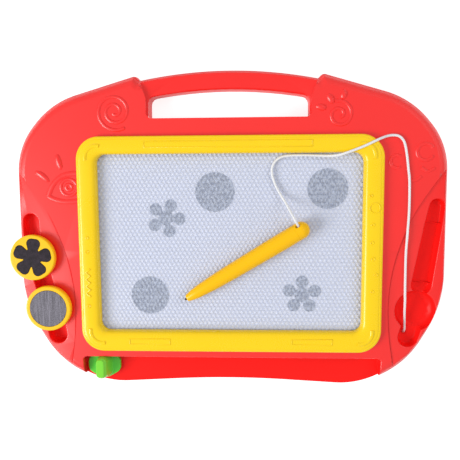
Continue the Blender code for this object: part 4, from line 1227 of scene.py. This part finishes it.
def stamp_profile():
    """Half of the section of a stamp: grip, underside, rolled edge and face."""
    edge = 1.4 * mm
    edge_steps = 6
    points = [(0.0, stamp_low), (4.4 * mm, stamp_low), (4.8 * mm, stamp_low + 0.3 * mm),
              (5.9 * mm, stamp_low + 2.5 * mm), (5.9 * mm, stamp_under - 1.0 * mm), (7.0 * mm, stamp_under),
              (stamp_radius - 3.0 * mm, stamp_under), (stamp_radius - 1.0 * mm, stamp_under + 0.8 * mm),
              (stamp_radius, stamp_under + 2.6 * mm), (stamp_radius, stamp_top - edge)]
    for step in range(1, edge_steps + 1):
        turn = math.pi / 2 * step / edge_steps
        points.append((stamp_radius - edge * (1 - math.cos(turn)), stamp_top - edge * (1 - math.sin(turn))))
    points.append((0.0, stamp_top))
    return points


def flower_points(centre):
    """Outline of five round petals with narrow notches between them."""
    petals = 5
    first_turn = math.radians(83)
    reach = stamp_radius * 0.911
    radius = stamp_radius * 0.41
    half_turn = math.atan2(stamp_radius * 0.405, reach)
    notch_reach = stamp_radius * 0.31
    notch_radius = 0.8 * mm
    corners = []
    for petal in range(petals):
        turn = first_turn + 2 * math.pi * petal / petals
        for angle, distance, rounding in ((turn - math.pi / petals, notch_reach, notch_radius),
                                          (turn - half_turn, reach, radius),
                                          (turn + half_turn, reach, radius)):
            corner = centre + Vector((math.cos(angle), math.sin(angle), 0.0)) * distance
            corners.append((corner.x, corner.y, rounding))
    return rounded_points(corners, 12)


print("stamps at", [[round(value / mm, 1) for value in centre] for centre in (flower_place, round_place)])

# %% [markdown]
# ## Making the stamps
# The cup is turned. Its pocket is cut by a tool that has the magnet's own outline, a little
# wider, so a thin even gap shows round the magnet. Both stamps are made the same way.

# %% Stamps
def stamp(name, centre, face_outline, magnet_finish):
    """A turned cup with a pocket, and the magnet that lies in it."""
    gap_outline = offset_points(face_outline, magnet_gap)
    shape = bmesh.new()
    turned(shape, stamp_profile(), 96)
    bmesh.ops.translate(shape, vec=centre, verts=shape.verts)
    cup = as_object(name + "_cup", shape, 30)
    pocket = skinned(name + "_pocket", [at_height(gap_outline, stamp_top - magnet_depth - magnet_gap),
                                        at_height(gap_outline, stamp_top + 2 * mm)])
    carve(cup, [pocket])
    shade_evenly(cup)
    keep(cup, name, stamp_plastic, [name + "_body"])
    shape = plate(face_outline, stamp_top - magnet_depth, stamp_top, 0.25 * mm, 2)
    magnet = as_object(name + "_face", shape, 30)
    shade_evenly(magnet)
    keep(magnet, name, magnet_finish, [name + "_magnet"])
    print(name, "has", len(cup.data.polygons), "faces in its cup")


stamp("flower_stamp", flower_place, flower_points(flower_place), dark_magnet)
stamp("round_stamp", round_place, circle_points(round_place, round_magnet_radius, 96), grey_magnet)

# %% [markdown]
# ## The pen's place
# The pen is turned: a bulging barrel, a round tail cap with an eye for the cord, and a
# black point. It lies on the screen on two rings of its taper, so its lean and height
# follow from the radii there. Its pieces are spun upright, with the middle of the round
# tail at the origin, and then laid down in their place.

# %% Pen place
pen_radius = 7.6 * mm
pen_nose = 116.2 * mm
seam = 4.3 * mm
seam_chamfer = 0.08 * mm
bore_radius = 5.2 * mm
screen_top = 19.8 * mm
near_share, near_radius = 0.40, 0.962
far_share, far_radius = 0.69, 0.885
lean = math.atan2((near_radius - far_radius) * pen_radius, (far_share - near_share) * pen_nose)
lift = near_radius * pen_radius / math.cos(lean) + near_share * pen_nose * math.sin(lean)
pen_heading = math.radians(211.3)
pen_place = Matrix.Translation((61.9 * mm, 13.6 * mm, screen_top + lift))
pen_place = pen_place @ Matrix.Rotation(pen_heading, 4, "Z") @ Matrix.Rotation(lean, 4, "Y")
lay_down = pen_place @ Matrix.Rotation(math.pi / 2, 4, "Y")


def laid(name, profile, finish, body, nodes, steps=72):
    """A turned piece that is laid down along the pen."""
    shape = bmesh.new()
    turned(shape, profile, steps)
    bmesh.ops.transform(shape, matrix=lay_down, verts=shape.verts)
    return keep(as_object(name, shape, 30), body, finish, nodes)


print("the pen leans by", round(math.degrees(lean), 2), "degrees")

# %% [markdown]
# ## The pen's barrel
# The barrel's outside is a smooth line of shares of the pen's length and radius. Its
# inside has a bore for the cap's plug and a narrow hole for the point.

# %% Pen barrel
barrel_shares = ((0.045, 1.0), (0.20, 1.0), (near_share, near_radius), (far_share, far_radius),
                 (0.895, 0.70), (0.981, 0.474))
barrel_line = smooth_points([Vector((radius * pen_radius, share * pen_nose))
                             for share, radius in barrel_shares], 8)
barrel_start = seam + 0.06 * mm
barrel = [(bore_radius, barrel_start), (pen_radius - seam_chamfer, barrel_start),
          (pen_radius, barrel_start + seam_chamfer)]
barrel += [tuple(point) for point in barrel_line]
barrel += [(3.3 * mm, pen_nose - 0.7 * mm), (2.9 * mm, pen_nose - 0.15 * mm), (2.5 * mm, pen_nose),
           (1.45 * mm, pen_nose), (1.45 * mm, pen_nose - 2.2 * mm), (2.6 * mm, pen_nose - 2.2 * mm),
           (2.6 * mm, pen_nose - 14.2 * mm), (4.56 * mm, pen_nose * 0.64), (bore_radius, barrel_start)]
laid("pen_barrel_piece", barrel, pen_plastic, "pen", ["pen_barrel"])
print("points in the barrel's section", len(barrel))

# %% [markdown]
# ## The pen's tail cap
# The cap is a half ball with a plug that goes into the barrel. The cord's knot sits in a
# round socket inside it, and a slot leads out of the socket. The slot's mouth flares, so
# that the cord stays clear of it when the pen swings.

# %% Pen cap
plug_end = seam + 8.0 * mm
cap_turns = [math.radians(angle) for angle in range(6, 90, 6)]
cap = [(0.0, -pen_radius)]
cap += [(pen_radius * math.sin(turn), -pen_radius * math.cos(turn)) for turn in cap_turns]
cap += [(pen_radius, 0.0), (pen_radius, seam - seam_chamfer), (pen_radius - seam_chamfer, seam),
        (5.3 * mm, seam), (bore_radius, plug_end), (0.0, plug_end)]
tail_cap = laid("pen_tail_piece", cap, pen_plastic, "pen", ["pen_tail_cap"])

eye_reach = 4.6 * mm * math.sqrt(0.5)
eye_place = pen_place @ Matrix.Translation((0, -eye_reach, eye_reach)) @ Matrix.Rotation(math.pi / 4, 4, "X")
socket_radius = 2.12 * mm
slot_half = 1.2
socket_shape = bmesh.new()
bmesh.ops.create_uvsphere(socket_shape, u_segments=24, v_segments=16, radius=socket_radius, matrix=eye_place)
eye_line = channel_points([Vector((-0.2, 0, slot_half)) * mm, Vector((1.2, 0, slot_half)) * mm], 10)
eye_levels = ((0.0, 0.0), (0.12, 1.8), (0.3, 2.5), (0.55, 2.95), (0.85, 3.25), (1.0, 6.0))
eye_shape = bmesh.new()
skin(eye_shape, [at_height(offset_points(eye_line, flare * mm), height * mm) for flare, height in eye_levels])
bmesh.ops.transform(eye_shape, matrix=eye_place, verts=eye_shape.verts)
carve(tail_cap, [as_object("eye_socket_tool", socket_shape), as_object("eye_tool", eye_shape)])
shade_evenly(tail_cap)
print("pen eye at", [round(value / mm, 2) for value in eye_place.translation])

# %% [markdown]
# ## The pen's point
# The black point is a small turned plug with a shoulder, which keeps it in the barrel's
# hole, and a rounded end.

# %% Pen point
point_end = pen_nose + 2.2 * mm
point = [(0.0, pen_nose - 4.5 * mm), (2.3 * mm, pen_nose - 4.5 * mm), (2.3 * mm, pen_nose - 2.5 * mm),
         (1.1 * mm, pen_nose - 2.5 * mm), (1.1 * mm, point_end - 0.9 * mm), (0.95 * mm, point_end - 0.4 * mm),
         (0.55 * mm, point_end - 0.08 * mm), (0.0, point_end)]
laid("pen_point_piece", point, black_plastic, "pen", ["pen_tip"], 32)
print("the point stands out by", round((point_end - pen_nose) / mm, 1), "mm")

# %% [markdown]
# ## The eraser knob
# The green slider is a plate that glides on the eraser band, with a tall rounded fin for
# the fingers and a flat tongue that goes into the shell. The plate starts as five corners
# with wide radii, and its upper edge is rounded with a bevel.

# %% Knob plate
knob_rest = -116.2 * mm
knob_half = 15.2 * mm
knob_reach = 22.2 * mm
knob_top_y = band_top - 0.8 * mm
knob_low_y = knob_top_y - knob_reach
knob_low = tray_floor + 0.3 * mm
knob_corner = 8.0 * mm
plate_height = 3.4 * mm
flank_y = knob_low_y + knob_reach * 0.34
plate_corners = [(knob_rest - knob_half, knob_top_y, knob_corner),
                 (knob_rest - knob_half * 0.97, flank_y, knob_half * 0.45),
                 (knob_rest, knob_low_y - knob_reach * 0.06, knob_half * 0.9),
                 (knob_rest + knob_half * 0.97, flank_y, knob_half * 0.45),
                 (knob_rest + knob_half, knob_top_y, knob_corner)]
knob = as_object("eraser_knob_piece", plate(rounded_points(plate_corners), knob_low, knob_low + plate_height,
                                            1.1 * mm, 4, every_edge=False), 30)
print("faces in the knob's plate", len(knob.data.polygons))

# %% [markdown]
# ## The knob's fin
# The fin flares out softly where it meets the plate and rounds over at its top, so it is a
# stack of outlines at rising heights. Each level has a spread, which widens the outline
# and moves it a little to the right, where the flare is broader.

# %% Knob fin
fin_middle = knob_rest - 0.5 * mm
fin_half = 4.0 * mm
fin_low_y = knob_low_y + 4.6 * mm
fin_top_y = knob_top_y - 0.3 * mm
fin_radius = fin_half * 0.95
spread_share = 0.6
shift_share = 0.35
fin_levels = [(3.8, 2.0), (5.0, 3.6), (4.2, 4.6), (3.5, 6.2), (2.8, 8.6), (2.1, 11.0), (1.2, 15.0),
              (-0.3, 16.1), (-1.0, 16.9), (-2.2, 17.2)]
fin_outline = rounded_points(box_corners(fin_middle - fin_half, fin_low_y, fin_middle + fin_half,
                                         fin_top_y, fin_radius, fin_radius), 10)
fin_rings = []
for spread, height in fin_levels:
    shift = Vector((shift_share * spread * mm, 0.0, 0.0))
    widened = [point + shift for point in offset_points(fin_outline, spread_share * spread * mm)]
    fin_rings.append(at_height(widened, knob_low + height * mm))
fin = skinned("fin_tool", fin_rings)
print("fin top at", round((knob_low + fin_levels[-1][1] * mm) / mm, 1))

# %% [markdown]
# ## The knob's tongue
# A flat tongue reaches under the shell's edge, where a peg of the carriage goes through
# its hole. Fin and tongue are joined to the plate, and then the hole is cut.

# %% Knob tongue
tongue_half = 5 * mm
tongue_start = knob_top_y - 3.4 * mm
tongue_end = -66.5 * mm
tongue_low = 10.6 * mm
tongue_high = 12.4 * mm
peg_radius = 2.7 * mm
peg_place = Matrix.Translation((knob_rest, tongue_end - 4.8 * mm, (tongue_low + tongue_high) / 2))
tongue_corners = box_corners(knob_rest - tongue_half, tongue_start, knob_rest + tongue_half, tongue_end,
                             0.5 * mm, 1 * mm)
tongue = plate(rounded_points(tongue_corners, 4), tongue_low, tongue_high, 0.2 * mm, 1, every_edge=False)
carve(knob, [fin, as_object("tongue_tool", tongue)], "UNION")
hole = bmesh.new()
bmesh.ops.create_cone(hole, cap_ends=True, segments=32, radius1=peg_radius, radius2=peg_radius, depth=8 * mm,
                      matrix=peg_place)
carve(knob, [as_object("peg_hole_tool", hole)])
shade_evenly(knob)
keep(knob, "eraser", green_plastic, ["eraser_knob"])
print("faces in the knob", len(knob.data.polygons))

# %% [markdown]
# ## The pieces that stay as measured
# The back cover, the strips, the carriage and the other inner pieces already have the
# right shape, so they only get their finishes.

# %% Inner pieces
inner_finishes = {
    "back_cover": red_inside,
    "back_film": white_plastic,
    "screen_retainer_lower": white_plastic,
    "screen_retainer_upper": white_plastic,
    "eraser_carriage": white_plastic,
    "eraser_magnet_1": dark_magnet,
    "eraser_magnet_2": dark_magnet,
    "pen_magnet": dark_magnet,
    "pen_knot": cord_white,
    "anchor_knot": cord_white,
}
for node, finish in inner_finishes.items():
    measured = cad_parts[node]
    measured.data.materials.clear()
    measured.data.materials.append(finish)
print("inner pieces", len(inner_finishes))

# %% [markdown]
# ## The screws
# Small round-headed screws hold the back cover and the strips. Each is turned at the place
# and with the length of its measured screw, and a cross is cut into its head.

# %% Screws
def screw_piece(node):
    """The measured screw with smooth turning and a cross cut into its head."""
    head_height = 1.9 * mm
    head_radius = 3.3 * mm
    shank_radius = 1.4 * mm
    tip_height = 2.8 * mm
    low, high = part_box(node)
    middle = (low + high) / 2
    shape = bmesh.new()
    turned(shape, [(0.0, low.z), (1.9 * mm, low.z + 0.05 * mm), (2.9 * mm, low.z + 0.45 * mm),
                   (3.25 * mm, low.z + 1.0 * mm), (head_radius, low.z + 1.4 * mm),
                   (head_radius, low.z + head_height), (shank_radius, low.z + head_height),
                   (shank_radius, high.z - tip_height), (0.4 * mm, high.z), (0.0, high.z)], 40)
    bmesh.ops.translate(shape, vec=(middle.x, middle.y, 0), verts=shape.verts)
    piece = as_object(node + "_piece", shape, 30)
    tools = []
    for turn in (math.pi / 4, -math.pi / 4):
        arm = bmesh.new()
        bmesh.ops.create_cube(arm, size=1.0)
        bmesh.ops.scale(arm, vec=(3.6 * mm, 0.75 * mm, 2.6 * mm), verts=arm.verts)
        matrix = Matrix.Translation((middle.x, middle.y, low.z)) @ Matrix.Rotation(turn, 4, "Z")
        bmesh.ops.transform(arm, matrix=matrix, verts=arm.verts)
        tools.append(as_object("cross_tool", arm))
    carve(piece, tools)
    shade_evenly(piece)
    keep(piece, "board", steel, [node])


screw_nodes = sorted(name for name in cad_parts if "screw" in name)
for node in screw_nodes:
    screw_piece(node)
print("screws", len(screw_nodes))

# %% [markdown]
# ## Light
# A large soft lamp far to the left, a weaker one on the right and an even white world give
# the soft shadows of the photograph, which fall to the right and a little up. The weak
# lamp isn't seen in the gloss, so that only the left side shines.

# %% Lamps and world
def soft_lamp(name, location, size, power):
    """A square lamp that looks at the middle of the board."""
    data = bpy.data.lights.new(name, "AREA")
    data.shape = "SQUARE"
    data.size = size
    data.energy = power
    lamp = bpy.data.objects.new(name, data)
    lamp.location = location
    lamp.rotation_euler = (-Vector(location)).to_track_quat("-Z", "Y").to_euler()
    bpy.context.scene.collection.objects.link(lamp)
    return lamp


soft_lamp("main_lamp", (-1.28, -0.42, 1.0), 0.8, 20.5)
fill_lamp = soft_lamp("fill_lamp", (1.0, 0.5, 0.9), 0.9, 5.5)
fill_lamp.visible_glossy = False
world = bpy.data.worlds.new("studio")
world.use_nodes = True
background = world.node_tree.nodes["Background"]
background.inputs["Color"].default_value = (1.0, 1.0, 1.0, 1.0)
background.inputs["Strength"].default_value = 0.52
bpy.context.scene.world = world
print("lamps and world are ready")

# %% [markdown]
# ## Ground
# The board lies on a sheet of pale paper, so wide that its edge stays near the horizon in
# low views. Towards the camera, and in reflections and through the film, the paper also
# glows, which makes the ground white without any more light on the board.

# %% Floor
floor_half = 40.0
floor_depth = 0.1 * mm
paper_grey = 0.52
glow_strength = 0.8
floor_shape = bmesh.new()
bmesh.ops.create_grid(floor_shape, x_segments=1, y_segments=1, size=floor_half)
bmesh.ops.translate(floor_shape, vec=(0, 0, -floor_depth), verts=floor_shape.verts)
floor = as_object("floor", floor_shape)
floor_finish = Finish("floor_paper", (paper_grey, paper_grey, paper_grey), 0.9)
tree = floor_finish.tree
glow = tree.nodes.new("ShaderNodeEmission")
glow.inputs["Strength"].default_value = glow_strength
path = tree.nodes.new("ShaderNodeLightPath")
both = tree.nodes.new("ShaderNodeAddShader")
chosen = tree.nodes.new("ShaderNodeMixShader")
kinds = ("Camera", "Glossy", "Transmission")
direct, mirrored, through = [Value(tree, path.outputs[f"Is {kind} Ray"]) for kind in kinds]
seen = direct.most(mirrored).most(through)
tree.links.new(floor_finish.shader.outputs[0], both.inputs[0])
tree.links.new(glow.outputs[0], both.inputs[1])
tree.links.new(seen.socket, chosen.inputs[0])
tree.links.new(floor_finish.shader.outputs[0], chosen.inputs[1])
tree.links.new(both.outputs[0], chosen.inputs[2])
tree.links.new(chosen.outputs[0], tree.nodes["Material Output"].inputs[0])
floor.data.materials.append(floor_finish.material)
bpy.context.scene.view_settings.view_transform = "Standard"
print("floor is", 2 * floor_half, "m wide")

# %% Finish
bpy.context.view_layer.update()
